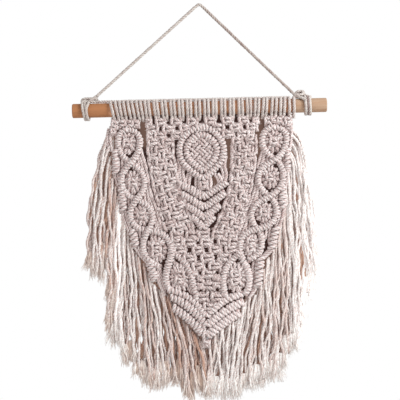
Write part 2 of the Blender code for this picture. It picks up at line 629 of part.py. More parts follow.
def build_heads(material):
    """The row of lark's heads: two strands a head, a wider gap between heads."""
    base = bore_radius(HEAD_SIDES)
    profile = []
    for head in range(HEAD_COUNT):
        edge = HEAD_FIRST_EDGE + HEAD_PITCH * head
        profile += [(edge + 0.4, base + 0.5), (edge + 2.6, base + HEAD_CORD_HEIGHT),
                    (edge + HEAD_PITCH / 2, base + 1.3),
                    (edge + HEAD_PITCH - 2.6, base + HEAD_CORD_HEIGHT)]
    last_edge = HEAD_FIRST_EDGE + HEAD_PITCH * HEAD_COUNT
    profile.append((last_edge - 0.4, base + 0.5))
    return add_object("lark_heads", sleeve("lark_heads", profile, HEAD_SIDES), material)


def cord_lump(name, points, thickness, sides=6):
    """A short thick cord along points of (across, drop, front)."""
    rings = []
    for index, point in enumerate(points):
        near = Vector(points[max(index - 1, 0)])
        far = Vector(points[min(index + 1, len(points) - 1)])
        along = (far - near).normalized()
        across_axis = along.cross(Vector((0.0, 0.0, 1.0))).normalized()
        other_axis = along.cross(across_axis).normalized()
        radius = thickness / 2 * (0.72 if index in (0, len(points) - 1) else 1.0)
        ring = []
        for side in range(sides):
            angle = math.tau * side / sides
            spot = Vector(point) + radius * (math.cos(angle) * across_axis
                                             + math.sin(angle) * other_axis)
            ring.append(at(*spot))
        rings.append(ring)
    return loft(name, rings)


# Columns: across, radius beyond the dowel's clearance.
LEFT_WRAP = ((-142.6, 0.4), (-141.4, 3.0), (-139.4, 3.4), (-137.8, 1.7), (-136.2, 3.4),
             (-134.2, 3.0), (-133.0, 0.4))
RIGHT_WRAP = ((125.4, 0.4), (126.6, 3.0), (128.4, 3.2), (130.4, 0.9), (132.4, 3.2),
              (134.2, 3.0), (135.6, 0.4))
# Columns: across, drop, front.
LEFT_LAID_ENDS = (
    ((-140.0, 116.3, 6.2), (-134.0, 115.2, 4.0), (-127.0, 115.2, 3.4), (-121.0, 115.4, 3.2)),
    ((-140.0, 116.0, -6.0), (-134.0, 115.2, -3.8), (-127.0, 115.2, -3.3), (-121.2, 115.3, -3.2)),
    ((-140.5, 114.6, 2.0), (-136.5, 112.5, 0.6), (-130.0, 112.6, 0.0), (-120.6, 112.9, 0.0)),
)
RIGHT_KNOT_CORDS = (
    ((113.4, 111.4, 1.6), (116.4, 110.0, 3.8), (121.0, 109.6, 4.0), (125.6, 111.2, 1.6),
     (124.2, 113.9, -1.4), (119.0, 113.2, -2.6), (114.8, 111.8, -1.6)),
    ((117.4, 113.2, 3.2), (121.0, 114.6, 4.8), (125.0, 117.0, 6.6), (127.6, 119.4, 8.6)),
)
TIE_CORD = 4.6
TIE_SIDES = 20


def build_tie(name, wrap, cords, material):
    """Turns round the dowel with the cord ends and the knot that lie on top of it."""
    base = bore_radius(TIE_SIDES)
    turns = sleeve(name, [(across, base + height) for across, height in wrap], TIE_SIDES)
    tie = add_object(name, turns, material)
    lumps = [cord_lump(name + "_cord", points, TIE_CORD) for points in cords]
    group = add_guides(name + "_cords", lumps, material)
    add_boolean(tie, "UNION", collection=group)
    return tie


# Columns: across, drop. The apex points bend round the nail.
HANGER_ROUTE = (
    (-123.3, 109.2), (-80.0, 71.9), (-40.0, 37.4), (-8.0, 9.8), (-2.2, 4.8), (2.5, 1.9),
    (7.0, 5.0), (12.4, 10.4), (45.0, 43.1), (80.0, 78.2), (111.85, 110.15),
)


def hanger_points():
    """Points of the hanger's middle line, at equal steps on one smooth curve."""
    return smooth_rows(HANGER_ROUTE, HANGER_STEP)


def build_hanger(material):
    curve = bpy.data.curves.new("hanger", "CURVE")
    curve.dimensions = "3D"
    curve.bevel_depth = HANGER_CORD / 2 * MM
    curve.bevel_resolution = 2
    curve.use_fill_caps = True
    points = hanger_points()
    spline = curve.splines.new("POLY")
    spline.points.add(len(points) - 1)
    for point, (across, drop) in zip(spline.points, points):
        point.co = (*at(across, drop), 1.0)
    curve.materials.append(material)
    hanger = bpy.data.objects.new("hanger", curve)
    bpy.context.scene.collection.objects.link(hanger)
    return hanger


def main():
    for thing in list(bpy.data.objects):
        bpy.data.objects.remove(thing, do_unlink=True)
    wood = make_material("pale_wood", (0.50, 0.31, 0.19), 0.6)
    cotton = make_material("natural_cotton", (0.70, 0.63, 0.60), 0.9)
    build_dowel(wood)
    build_heads(cotton)
    build_tie("hanger_tie_left", LEFT_WRAP, LEFT_LAID_ENDS, cotton)
    build_tie("hanger_tie_right", RIGHT_WRAP, RIGHT_KNOT_CORDS, cotton)
    build_hanger(cotton)
    build_panel(cotton)
    build_fringe("fringe_left", LEFT_FRINGE, cotton)
    build_fringe("fringe_right", RIGHT_FRINGE, cotton)


main()
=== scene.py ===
"""Looks of a knotted cotton wall hanging on a wooden dowel.

Places are given on the hanging's own sheet, in millimetres: across (to the right of the dowel's
middle), drop (down from a line just above the hanger) and front (towards the viewer).
"""

from __future__ import annotations

import logging
import math
import random
from dataclasses import dataclass, field
from enum import Enum
from typing import Iterable, Sequence

import bpy
import numpy as np
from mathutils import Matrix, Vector

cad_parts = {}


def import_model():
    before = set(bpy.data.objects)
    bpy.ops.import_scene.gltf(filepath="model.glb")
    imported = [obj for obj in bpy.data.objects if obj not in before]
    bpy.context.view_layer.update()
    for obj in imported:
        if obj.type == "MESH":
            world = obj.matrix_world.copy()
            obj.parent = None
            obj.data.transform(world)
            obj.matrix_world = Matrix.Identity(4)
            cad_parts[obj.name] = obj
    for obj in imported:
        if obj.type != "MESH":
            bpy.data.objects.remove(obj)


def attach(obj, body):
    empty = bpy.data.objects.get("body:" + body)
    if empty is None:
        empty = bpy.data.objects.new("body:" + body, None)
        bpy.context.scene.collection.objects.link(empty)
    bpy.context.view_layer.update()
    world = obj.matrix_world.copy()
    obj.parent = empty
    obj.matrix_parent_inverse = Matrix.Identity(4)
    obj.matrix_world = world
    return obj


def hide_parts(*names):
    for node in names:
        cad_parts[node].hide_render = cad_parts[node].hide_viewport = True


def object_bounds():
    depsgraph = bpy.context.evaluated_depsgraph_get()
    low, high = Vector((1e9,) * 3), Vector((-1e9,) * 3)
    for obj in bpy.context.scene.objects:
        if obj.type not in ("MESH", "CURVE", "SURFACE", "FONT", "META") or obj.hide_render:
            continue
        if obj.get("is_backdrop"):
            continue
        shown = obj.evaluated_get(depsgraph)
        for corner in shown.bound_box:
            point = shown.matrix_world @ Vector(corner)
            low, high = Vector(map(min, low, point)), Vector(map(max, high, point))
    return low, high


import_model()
LOG = logging.getLogger("wall_hanging")

MM = 0.001
# Where the frame's origin, the hanger's bearing point, lies on the sheet.
HANGER_ACROSS = 2.5
BEARING_DROP = 3.8
DOWEL_DROP = 126.0
DOWEL_RADIUS = 8.5

Row = tuple[float, ...]
Rows = Sequence[Row]
Colour = tuple[float, float, float]
WHITE: Colour = (1.0, 1.0, 1.0)
BLACK: Colour = (0.0, 0.0, 0.0)


# ---- Paths -----------------------------------------------------------------------
def share(value: float, start: float, span: float) -> float:
    """How far a value has come from a start through a span, from 0 to 1."""
    return min(1.0, max(0.0, (value - start) / span))


def spline(rows: Rows | np.ndarray, closed: bool = False, per_span: int = 8) -> np.ndarray:
    """Smooth curve (Catmull-Rom) through every row, for all of its columns.

    Args:
        rows: control rows of any number of columns.
        closed: whether the curve runs back to its first row.
        per_span: steps between two control rows.

    Returns:
        The rows of the fine curve.
    """
    base = np.asarray(rows, dtype=float)
    count = len(base)
    spans = np.arange(count if closed else count - 1)
    part = (np.arange(per_span) / per_span)[None, :, None]

    def row(shift: int) -> np.ndarray:
        """Control rows that lie the given number of places after each span's first."""
        index = (spans + shift) % count if closed else np.clip(spans + shift, 0, count - 1)
        return base[index][:, None, :]

    before, start, end, after = row(-1), row(0), row(1), row(2)
    fine = 0.5 * (2 * start + (end - before) * part
                  + (2 * before - 5 * start + 4 * end - after) * part ** 2
                  + (3 * start - before - 3 * end + after) * part ** 3)
    last = base[:1] if closed else base[-1:]
    return np.concatenate([fine.reshape(-1, base.shape[1]), last])


def distances(points: np.ndarray) -> np.ndarray:
    """How far along a path each of its points lies."""
    return np.concatenate([[0.0], np.cumsum(np.linalg.norm(np.diff(points, axis=0), axis=1))])


def read_at(wanted: np.ndarray, lengths: np.ndarray, rows: np.ndarray) -> np.ndarray:
    """Rows of a curve, in all columns, at the wanted distances along it."""
    return np.stack([np.interp(wanted, lengths, column) for column in rows.T], axis=1)


def even_steps(rows: np.ndarray, step: float) -> np.ndarray:
    """Rows read again at equal steps along their first three columns (or fewer).

    Args:
        rows: a fine curve.
        step: wanted distance between two rows.

    Returns:
        The evenly spaced rows, first and last included.
    """
    lengths = distances(rows[:, :3])
    count = max(2, int(round(lengths[-1] / step)) + 1)
    return read_at(np.linspace(0.0, lengths[-1], count), lengths, rows)


def world(points: np.ndarray) -> np.ndarray:
    """World millimetres of sheet places (across, drop, front)."""
    return np.stack([points[:, 0] - HANGER_ACROSS, -points[:, 2], BEARING_DROP - points[:, 1]], axis=1)


def sheet(points: np.ndarray) -> np.ndarray:
    """Sheet places (across, drop, front) of world millimetres."""
    return np.stack([points[:, 0] + HANGER_ACROSS, BEARING_DROP - points[:, 2], -points[:, 1]], axis=1)


def unit(vectors: np.ndarray) -> np.ndarray:
    """The same directions at length 1."""
    return vectors / np.maximum(np.linalg.norm(vectors, axis=1, keepdims=True), 1e-9)


def across_normals(points: np.ndarray) -> np.ndarray:
    """Unit directions across a path, in the sheet's plane."""
    along = unit(np.gradient(points[:, :2], axis=0))
    return np.stack([along[:, 1], -along[:, 0]], axis=1)


# ---- Cords -----------------------------------------------------------------------
class Lay(Enum):
    """How a cord's section is drawn."""

    FINE_ROPE = "fine_rope"
    ROPE = "rope"
    LOOSE_ROPE = "loose_rope"
    PLY = "ply"
    FIBRE = "fibre"


@dataclass(frozen=True)
class Section:
    """Corners of a cord's section.

    Attributes:
        angles: corner angles in degrees.
        radii: corner distances as shares of half the width.
        turn_length: length of one full turn of the plies, in cord widths (0 for none).
    """

    angles: tuple[float, ...]
    radii: tuple[float, ...]
    turn_length: float


PLIES = 3


def plied(corners: Sequence[tuple[float, float]], turn_length: float) -> Section:
    """Section of three plies, each with the given corners (angle, radius share)."""
    angles = tuple(ply * 360.0 / PLIES + angle for ply in range(PLIES) for angle, _ in corners)
    return Section(angles, tuple(radius for _, radius in corners) * PLIES, turn_length)


def round_section(sides: int) -> Section:
    """Plain section with equal sides."""
    return Section(tuple(360.0 * side / sides for side in range(sides)), (1.0,) * sides, 0.0)


SECTIONS: dict[Lay, Section] = {
    Lay.FINE_ROPE: plied(((-38.0, 0.94), (0.0, 1.0), (38.0, 0.94), (60.0, 0.68)), 2.6),
    Lay.ROPE: plied(((-30.0, 1.0), (30.0, 1.0), (60.0, 0.68)), 2.4),
    Lay.LOOSE_ROPE: plied(((-30.0, 1.0), (30.0, 1.0), (60.0, 0.72)), 4.0),
    Lay.PLY: round_section(6),
    Lay.FIBRE: round_section(3),
}
# Corners nearer the middle than this share of half the width lie between two plies.
VALLEY_SHARE = 0.8
# Unevenness of a section's corners, and how far a ply's tone strays from its cord's.
CORNER_ROUGHNESS = 0.06
PLY_TONE = 0.7


@dataclass
class CordBundle:
    """Many swept cords that become one mesh.

    Attributes:
        name: name of the piece.
        seed: seed of the cords' small differences.
        painted_light: painted light that makes its cords paler towards the lower right; below 0, painted
            shade that darkens them.
        painted_light_from: across and its span, then drop and its span, where that painted light sets in.
        points: corners of the cords laid so far, in world millimetres.
        quads: their side faces.
        caps: their end faces.
        tones: light or dark shift of each corner, partly at random and partly painted light and shade.
        valleys: whether each corner lies between two plies.
        lays: place along and round the cord of each corner of each side face.
        count: number of corners so far.
    """

    name: str
    seed: int = 1
    painted_light: float = 0.0
    painted_light_from: Row = (0.0, 12.0, 285.0, 30.0)
    points: list[np.ndarray] = field(default_factory=list)
    quads: list[np.ndarray] = field(default_factory=list)
    caps: list[list[int]] = field(default_factory=list)
    tones: list[np.ndarray] = field(default_factory=list)
    valleys: list[np.ndarray] = field(default_factory=list)
    lays: list[np.ndarray] = field(default_factory=list)
    count: int = 0

    def __post_init__(self) -> None:
        """Start the bundle's own rows of chances."""
        self.chance = random.Random(self.seed)
        self.noise = np.random.default_rng(self.seed)

    def add(self, rows: Rows | np.ndarray, width: float, lay: Lay = Lay.ROPE, step: float = 1.3,
            closed: bool = False, tone: float | None = None, smooth: bool = True) -> None:
        """Sweep one cord along sheet places.

        Args:
            rows: (across, drop, front) and, if wanted, a share of the width.
            width: the cord's width.
            lay: kind of section.
            step: distance between two rings.
            closed: whether the cord is an endless loop.
            tone: light or dark shift, by chance from -1 to 1 if not given.
            smooth: whether a smooth curve is laid through the rows first.
        """
        base = np.asarray(rows, dtype=float)
        if base.shape[1] == 3:
            base = np.concatenate([base, np.ones((len(base), 1))], axis=1)
        fine = even_steps(spline(base, closed) if smooth else base, step)
        path = world(fine[:, :3])
        if closed:
            path[-1] = path[0]
        section = SECTIONS[lay]
        normals, sides = self._frames(path)
        along = distances(path)
        phase = np.full(len(path), self.chance.uniform(0.0, math.tau))
        if section.turn_length:
            phase = phase + math.tau * along / (section.turn_length * width)
        corner = np.radians(section.angles)[None, :] + phase[:, None]
        rough = self.noise.normal(0.0, CORNER_ROUGHNESS, corner.shape)
        if closed:
            rough[-1] = rough[0]
        radii = np.asarray(section.radii)
        radius = (radii[None, :] + rough) * (width / 2 * fine[:, 3])[:, None]
        ring = (path[:, None, :] + (np.cos(corner) * radius)[:, :, None] * normals[:, None, :]
                + (np.sin(corner) * radius)[:, :, None] * sides[:, None, :])
        self.valleys.append(np.tile(radii < VALLEY_SHARE, len(path)))
        self._keep(ring, along, tone if tone is not None else self.chance.uniform(-1.0, 1.0))

    @staticmethod
    def _frames(path: np.ndarray) -> tuple[np.ndarray, np.ndarray]:
        """Carry two directions along a path without turning them round it.

        Args:
            path: points of the path.

        Returns:
            Two unit directions across the path at every point.
        """
        tangents = unit(np.gradient(path, axis=0))
        normals = np.empty_like(path)
        normal = np.eye(3)[int(np.argmin(np.abs(tangents[0])))]
        for index, tangent in enumerate(tangents):
            normal = normal - tangent * normal.dot(tangent)
            normal = normal / max(math.sqrt(normal.dot(normal)), 1e-9)
            normals[index] = normal
        return normals, np.cross(tangents, normals)

    def _keep(self, ring: np.ndarray, along: np.ndarray, tone: float) -> None:
        """Keep one cord's rings, faces, tones and lay coordinates.

        Args:
            ring: corners of every ring along the cord.
            along: how far along the cord each ring lies.
            tone: the cord's light or dark shift.
        """
        rings, sides = ring.shape[:2]
        index = self.count + np.arange(rings * sides).reshape(rings, sides)
        after = np.roll(index, -1, axis=1)
        self.quads.append(np.stack([index[:-1], after[:-1], after[1:], index[1:]], axis=-1).reshape(-1, 4))
        self.caps += [index[0][::-1].tolist(), index[-1].tolist()]
        self.points.append(ring.reshape(-1, 3))
        ply = np.array([self.chance.uniform(-PLY_TONE, PLY_TONE) for _ in range(PLIES)])
        ply = np.resize(np.repeat(ply, max(1, sides // PLIES)), sides)
        # Painted light: the tone rises towards the lower right, by the bundle's strength of painted light.
        middle = sheet(ring.mean(axis=1))
        across, wide, drop, high = self.painted_light_from
        right = np.clip((middle[:, 0] - across) / wide, 0.0, 1.0)
        low = np.clip((middle[:, 1] - drop) / high, 0.0, 1.0)
        self.tones.append((tone + ply[None, :] + (self.painted_light * right * low)[:, None]).reshape(-1))
        turn = np.arange(sides) / sides
        near = np.stack(np.broadcast_arrays(along[:, None], turn[None, :]), axis=-1)
        far = near + (0.0, 1.0 / sides)
        self.lays.append(np.stack([near[:-1], far[:-1], far[1:], near[1:]], axis=2).reshape(-1, 2))
        self.count += rings * sides

    def fuzz(self, count: int, length: float = 3.2, width: float = 0.3) -> None:
        """Let loose fibres stand off the cords laid so far.

        Args:
            count: number of fibres.
            length: their middle length.
            width: their width.
        """
        points = sheet(np.concatenate(self.points))
        roots = points[self.noise.integers(0, len(points), count)]
        for root in roots:
            way = self.noise.normal(0.0, 1.0, 3)
            way *= length * self.noise.uniform(0.5, 1.5) / max(np.linalg.norm(way), 1e-6)
            way[2] = abs(way[2]) * 0.6
            bend = self.noise.normal(0.0, length * 0.22, 3)
            bend[2] = abs(bend[2])
            rows = np.stack([root - way * 0.15, root + way * 0.45 + bend, root + way])
            self.add(np.column_stack([rows, (1.0, 0.9, 0.3)]), width, Lay.FIBRE, length * 0.5)

    def build(self, material: bpy.types.Material) -> bpy.types.Object:
        """Make the mesh object with its tones and lay coordinates.

        Args:
            material: finish of all its cords.

        Returns:
            The new object.
        """
        mesh = bpy.data.meshes.new(self.name)
        faces = np.concatenate(self.quads).tolist() + self.caps
        mesh.from_pydata((np.concatenate(self.points) * MM).tolist(), [], faces)
        lay = mesh.uv_layers.new(name="lay")
        flat = np.zeros((len(mesh.loops), 2))
        body = np.concatenate(self.lays)
        flat[:len(body)] = body
        lay.data.foreach_set("uv", flat.reshape(-1))
        for name, values in (("tone", self.tones), ("valley", self.valleys)):
            layer = mesh.attributes.new(name, "FLOAT", "POINT")
            layer.data.foreach_set("value", np.concatenate(values).astype(float))
        mesh.polygons.foreach_set("use_smooth", [True] * len(mesh.polygons))
        mesh.materials.append(material)
        mesh.update()
        return add_object(self.name, mesh)


def add_object(name: str, data: bpy.types.ID) -> bpy.types.Object:
    """Put a new object in the scene.

    Args:
        name: name of the object.
        data: its mesh, light or camera.

    Returns:
        The object.
    """
    thing = bpy.data.objects.new(name, data)
    bpy.context.scene.collection.objects.link(thing)
    return thing


def place(bundle: CordBundle, material: bpy.types.Material, stands_for: Iterable[str] = (),
          fibres: int = 0, length: float = 3.2) -> bpy.types.Object:
    """Make a bundle's piece, fix it to the hanging and report it.

    Args:
        bundle: cords of the piece.
        material: its finish.
        stands_for: nodes of the plain model that it stands for.
        fibres: number of loose fibres that stand off it.
        length: their middle length.

    Returns:
        The new piece.
    """
    if fibres:
        bundle.fuzz(fibres, length)
    thing = bundle.build(material)
    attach(thing, "root")
    if stands_for:
        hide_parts(*stands_for)
    LOG.info("%s: %d faces", thing.name, len(thing.data.polygons))
    return thing


# ---- Finishes --------------------------------------------------------------------
class Nodes:
    """Small helper that adds shader nodes to one material or world."""

    def __init__(self, tree: bpy.types.NodeTree) -> None:
        """Keep the tree that the nodes go into."""
        self.tree = tree

    def fill(self, node: bpy.types.Node, sockets: dict[str | int, object]) -> None:
        """Set inputs of a node.

        Args:
            node: the node.
            sockets: a fixed value, or another node's output to join, for each input.
        """
        for name, value in sockets.items():
            if isinstance(value, bpy.types.NodeSocket):
                self.tree.links.new(value, node.inputs[name])
            else:
                node.inputs[name].default_value = value

    def add(self, kind: str, sockets: dict[str | int, object] | None = None,
            **settings: object) -> bpy.types.Node:
        """Add a node.

        Args:
            kind: Blender's node type.
            sockets: values for its inputs, as fill takes them.
            settings: property names and values.

        Returns:
            The new node.
        """
        node = self.tree.nodes.new(kind)
        for name, value in settings.items():
            setattr(node, name, value)
        self.fill(node, sockets or {})
        return node

    def attribute(self, name: str) -> bpy.types.NodeSocket:
        """A value that the mesh carries."""
        return self.add("ShaderNodeAttribute", attribute_name=name).outputs["Fac"]

    def arithmetic(self, operation: str, *values: object) -> bpy.types.NodeSocket:
        """Result of one sum of two or three values."""
        return self.add("ShaderNodeMath", dict(enumerate(values)), operation=operation).outputs["Value"]

    def noise(self, vector: bpy.types.NodeSocket, scale: float, detail: float,
              distortion: float = 0.0) -> bpy.types.NodeSocket:
        """Strength of an uneven pattern."""
        sockets = {"Vector": vector, "Scale": scale, "Detail": detail, "Distortion": distortion}
        return self.add("ShaderNodeTexNoise", sockets).outputs["Fac"]

    def stretched(self, vector: bpy.types.NodeSocket, scale: Row, turn: float = 0.0) -> bpy.types.NodeSocket:
        """Places turned in their plane and stretched."""
        sockets = {"Vector": vector, "Rotation": (0.0, 0.0, turn), "Scale": scale}
        return self.add("ShaderNodeMapping", sockets).outputs["Vector"]

    def spread(self, value: bpy.types.NodeSocket, start: float, end: float, low: float = 0.0,
               high: float = 1.0) -> bpy.types.NodeSocket:
        """A value's way from start to end, given as low to high."""
        sockets = {"Value": value, "From Min": start, "From Max": end, "To Min": low, "To Max": high}
        return self.add("ShaderNodeMapRange", sockets).outputs["Result"]

    def mix(self, factor: object, first: object, second: object, blend: str = "MIX") -> bpy.types.NodeSocket:
        """Two colours mixed or multiplied."""
        sockets = {"Fac": factor, "Color1": first, "Color2": second}
        return self.add("ShaderNodeMixRGB", sockets, blend_type=blend).outputs["Color"]

    def bump(self, height: bpy.types.NodeSocket, strength: float, distance: float) -> bpy.types.NodeSocket:
        """Surface direction over fine relief."""
        sockets = {"Height": height, "Strength": strength, "Distance": distance}
        return self.add("ShaderNodeBump", sockets).outputs["Normal"]

    def ramp(self, factor: bpy.types.NodeSocket,
             stops: Sequence[tuple[float, Colour]]) -> bpy.types.NodeSocket:
        """Colours laid out along a value.

        Args:
            factor: the value.
            stops: places from 0 to 1 and their colours.

        Returns:
            The colour at the value.
        """
        node = self.add("ShaderNodeValToRGB", {"Fac": factor})
        band = node.color_ramp
        while len(band.elements) < len(stops):
            band.elements.new(0.5)
        for element, (spot, colour) in zip(band.elements, stops):
            element.position = spot
            element.color = opaque(colour)
        return node.outputs["Color"]


def opaque(colour: Colour) -> Row:
    """A colour as a socket takes it."""
    return (*colour, 1.0)


def new_material(name: str) -> tuple[bpy.types.Material, Nodes, bpy.types.Node]:
    """Make a material.

    Args:
        name: name of the material.

    Returns:
        The material, its nodes and its main shader.
    """
    material = bpy.data.materials.new(name)
    material.use_nodes = True
    return material, Nodes(material.node_tree), material.node_tree.nodes["Principled BSDF"]


# Places of the shade, deep and pale colours along a cord's paleness.
PALENESS_STOPS = (0.18, 0.36, 0.62)
# Fine flecks in the cotton, and the painted shade where cotton lies close to cotton, by how open that place
# is.
FLECK_STOPS = ((0.36, (0.78, 0.69, 0.68)), (0.54, WHITE))
CREASE_SHADE_STOPS = (0.0, 0.18, 0.42)


@dataclass(frozen=True)
class CottonFinish:
    """Twisted undyed cotton.

    Attributes:
        name: material name.
        pale: colour of the palest strands.
        deep: colour of the deeper strands.
        shade: colour of the few darkest strands.
        crease_shade: colour of the painted shade deep between strands.
        groove_shade: colour of the painted shade between its plies.
        sheen: strength of the fibres' soft sheen.
        painted_glow: strength of the painted light that the cotton gives off, more where its tone is high.
        behind: shade, deep and pale colours of what faces backwards, if they differ.
    """

    name: str
    pale: Colour
    deep: Colour
    shade: Colour = (0.34, 0.24, 0.22)
    crease_shade: Colour = (0.36, 0.19, 0.17)
    groove_shade: Colour = (0.68, 0.51, 0.49)
    sheen: float = 0.25
    painted_glow: float = 0.0
    behind: Sequence[Colour] = ()

    def material(self) -> bpy.types.Material:
        """Make cotton with uneven tone, fine fibres along the plies and a soft sheen.

        Returns:
            The new material.
        """
        material, nodes, shader = new_material(self.name)
        tone = nodes.attribute("tone")
        spot = nodes.add("ShaderNodeTexCoord").outputs["Object"]
        lay = nodes.add("ShaderNodeUVMap", uv_map="lay").outputs["UV"]
        fibre = nodes.noise(nodes.stretched(lay, (0.55, 26.0, 1.0), turn=0.12), scale=1.0, detail=3.0)
        colour = self._strand_colour(nodes, tone, spot, fibre)
        flecks = nodes.ramp(nodes.noise(spot, scale=460.0, detail=2.0), FLECK_STOPS)
        colour = nodes.mix(0.8, colour, flecks, "MULTIPLY")
        # Painted shade in the hollows between the plies.
        colour = nodes.mix(nodes.attribute("valley"), colour, opaque(self.groove_shade), "MULTIPLY")
        # Painted shade where cotton lies close to other cotton, less of it on strands of high tone.
        nearby = nodes.add("ShaderNodeAmbientOcclusion", {"Distance": 0.006}, samples=8).outputs["AO"]
        halfway = tuple(math.sqrt(part) for part in self.crease_shade)
        crease_shade = nodes.ramp(nearby, tuple(zip(CREASE_SHADE_STOPS, (self.crease_shade, halfway, WHITE))))
        creased = nodes.spread(tone, start=2.2, end=5.0, low=1.0, high=0.15)
        colour = nodes.mix(creased, colour, crease_shade, "MULTIPLY")
        # Painted light: the emission rises with tone, so cords in painted light give off light as well.
        nodes.fill(shader, {
            "Base Color": colour, "Roughness": 0.92, "Specular IOR Level": 0.25,
            "Sheen Weight": self.sheen, "Sheen Roughness": 0.6, "Emission Color": opaque(self.pale),
            "Emission Strength": nodes.spread(tone, start=2.0, end=6.0, low=self.painted_glow,
                                              high=self.painted_glow + 0.3),
            "Normal": nodes.bump(fibre, strength=0.55, distance=0.0005)})
        return material

    def _strand_colour(self, nodes: Nodes, tone: bpy.types.NodeSocket, spot: bpy.types.NodeSocket,
                       fibre: bpy.types.NodeSocket) -> bpy.types.NodeSocket:
        """Colour of the strands, by their tone, soft clouds and the fibres' streaks.

        Args:
            nodes: the material's nodes.
            tone: light or dark shift of the cord.
            spot: place on the hanging.
            fibre: pattern of the fibres.

        Returns:
            The colour.
        """
        paleness = nodes.arithmetic("MULTIPLY_ADD", tone, 0.16, 0.5)
        cloud = nodes.noise(spot, scale=130.0, detail=3.0)
        paleness = nodes.arithmetic("MULTIPLY_ADD", cloud, 0.7, paleness)
        paleness = nodes.arithmetic("MULTIPLY_ADD", fibre, 0.5, paleness)
        paleness = nodes.arithmetic("MULTIPLY", paleness, 0.5)
        colour = nodes.ramp(paleness, tuple(zip(PALENESS_STOPS, (self.shade, self.deep, self.pale))))
        if not self.behind:
            return colour
        # Colour by which way a side faces: the front takes this finish's colours, painted shade on the shaded
        # strands, the back the plain colours behind.
        facing = nodes.add("ShaderNodeNewGeometry").outputs["Normal"]
        backwards = nodes.add("ShaderNodeSeparateXYZ", {"Vector": facing}).outputs["Y"]
        other = nodes.ramp(paleness, tuple(zip(PALENESS_STOPS, self.behind)))
        return nodes.mix(nodes.spread(backwards, start=0.0, end=0.3), colour, other)


@dataclass(frozen=True)
class WoodFinish:
    """Bare sanded wood with its grain along the dowel.

    Attributes:
        name: material name.
        warm: colour near the left end.
        pale: colour near the right end.
        bare: painted light, a brighter and redder colour of the wood between the cords.
        grain: colour of the darker grain lines.
        half_length: how far to each side its colours are laid out, in metres.
    """

    name: str = "bare_pine"
    warm: Colour = (0.455, 0.195, 0.083)
    pale: Colour = (0.50, 0.34, 0.235)
    bare: Colour = (0.78, 0.41, 0.24)
    grain: Colour = (0.36, 0.165, 0.075)
    half_length: float = 0.15

    def material(self) -> bpy.types.Material:
        """Make wood with long grain lines, fine pores and colours that change where the cords end, with
        painted light between the cords.

        Returns:
            The new material.
        """
        material, nodes, shader = new_material(self.name)
        spot = nodes.add("ShaderNodeTexCoord").outputs["Object"]
        grain = nodes.noise(nodes.stretched(spot, (14.0, 260.0, 260.0)), scale=1.0, detail=5.0,
                            distortion=0.6)
        pore = nodes.noise(nodes.stretched(spot, (120.0, 1500.0, 1500.0)), scale=1.0, detail=2.0)
        along = nodes.add("ShaderNodeSeparateXYZ", {"Vector": spot}).outputs["X"]
        # Painted light: the wood between the cords is brighter and redder than at the ends.
        base = nodes.ramp(nodes.spread(along, -self.half_length, self.half_length), (
            (0.0, self.warm), (0.125, self.warm), (0.14, self.bare), (0.86, self.bare), (0.875, self.pale),
            (1.0, self.pale)))
        dark = nodes.ramp(grain, ((0.42, BLACK), (0.62, WHITE)))
        weight = nodes.arithmetic("MULTIPLY", dark, 0.42)
        nodes.fill(shader, {
            "Base Color": nodes.mix(weight, base, opaque(self.grain)), "Roughness": 0.62,
            "Specular IOR Level": 0.35, "Normal": nodes.bump(pore, strength=0.35, distance=0.0003)})
        return material


# Plain cotton colours for sides that face backwards, behind the painted shade and light on the front-facing
# sides.
COTTON_BEHIND: Sequence[Colour] = ((0.62, 0.52, 0.49), (0.76, 0.67, 0.64), (0.86, 0.82, 0.80))
KNOT_COTTON = CottonFinish("knotted_cotton", (0.90, 0.84, 0.835), (0.68, 0.565, 0.55))
HEAD_COTTON = CottonFinish("heading_cotton", (0.76, 0.715, 0.69), (0.68, 0.61, 0.58),
                           crease_shade=(0.72, 0.52, 0.46))
FRINGE_COTTON = CottonFinish("fringe_cotton", (0.96, 0.94, 0.93), (0.80, 0.69, 0.655), (0.66, 0.44, 0.345),
                             (0.58, 0.34, 0.26), (0.84, 0.71, 0.68), behind=COTTON_BEHIND)
# Frayed ends that give off a faint painted light all over.
FRAYED_COTTON = CottonFinish("frayed_cotton", (1.0, 0.98, 0.965), (0.87, 0.75, 0.68), (0.54, 0.37, 0.28),
                             (0.84, 0.68, 0.60), (0.84, 0.72, 0.68), painted_glow=0.09)
# Painted shade: orange-brown cotton for strands that lie behind others, on their front-facing side.
BACK_SHADE_COTTON = CottonFinish("shaded_cotton", (0.88, 0.64, 0.51), (0.70, 0.45, 0.34), (0.50, 0.31, 0.25),
                           (0.62, 0.38, 0.30), (0.84, 0.71, 0.68), painted_glow=0.02, behind=COTTON_BEHIND)
HANGER_COTTON = CottonFinish("hanger_cotton", (0.76, 0.715, 0.68), (0.56, 0.505, 0.47),
                             crease_shade=(0.50, 0.34, 0.31), groove_shade=(0.84, 0.75, 0.72))


# ---- Layout ----------------------------------------------------------------------
# Knot rows. Columns: drop, then the knots' places across.
TOP_FIELD_ROWS: tuple[tuple[float, tuple[float, ...]], ...] = (
    (142.0, (-47.0, -27.5, -8.0, 12.3, 33.2, 53.0)),
    (150.2, (-56.5, -37.4, -17.8, 2.4, 22.6, 43.2, 62.0)),
    (158.2, (-47.5, -27.8, 33.0, 52.4)),
)
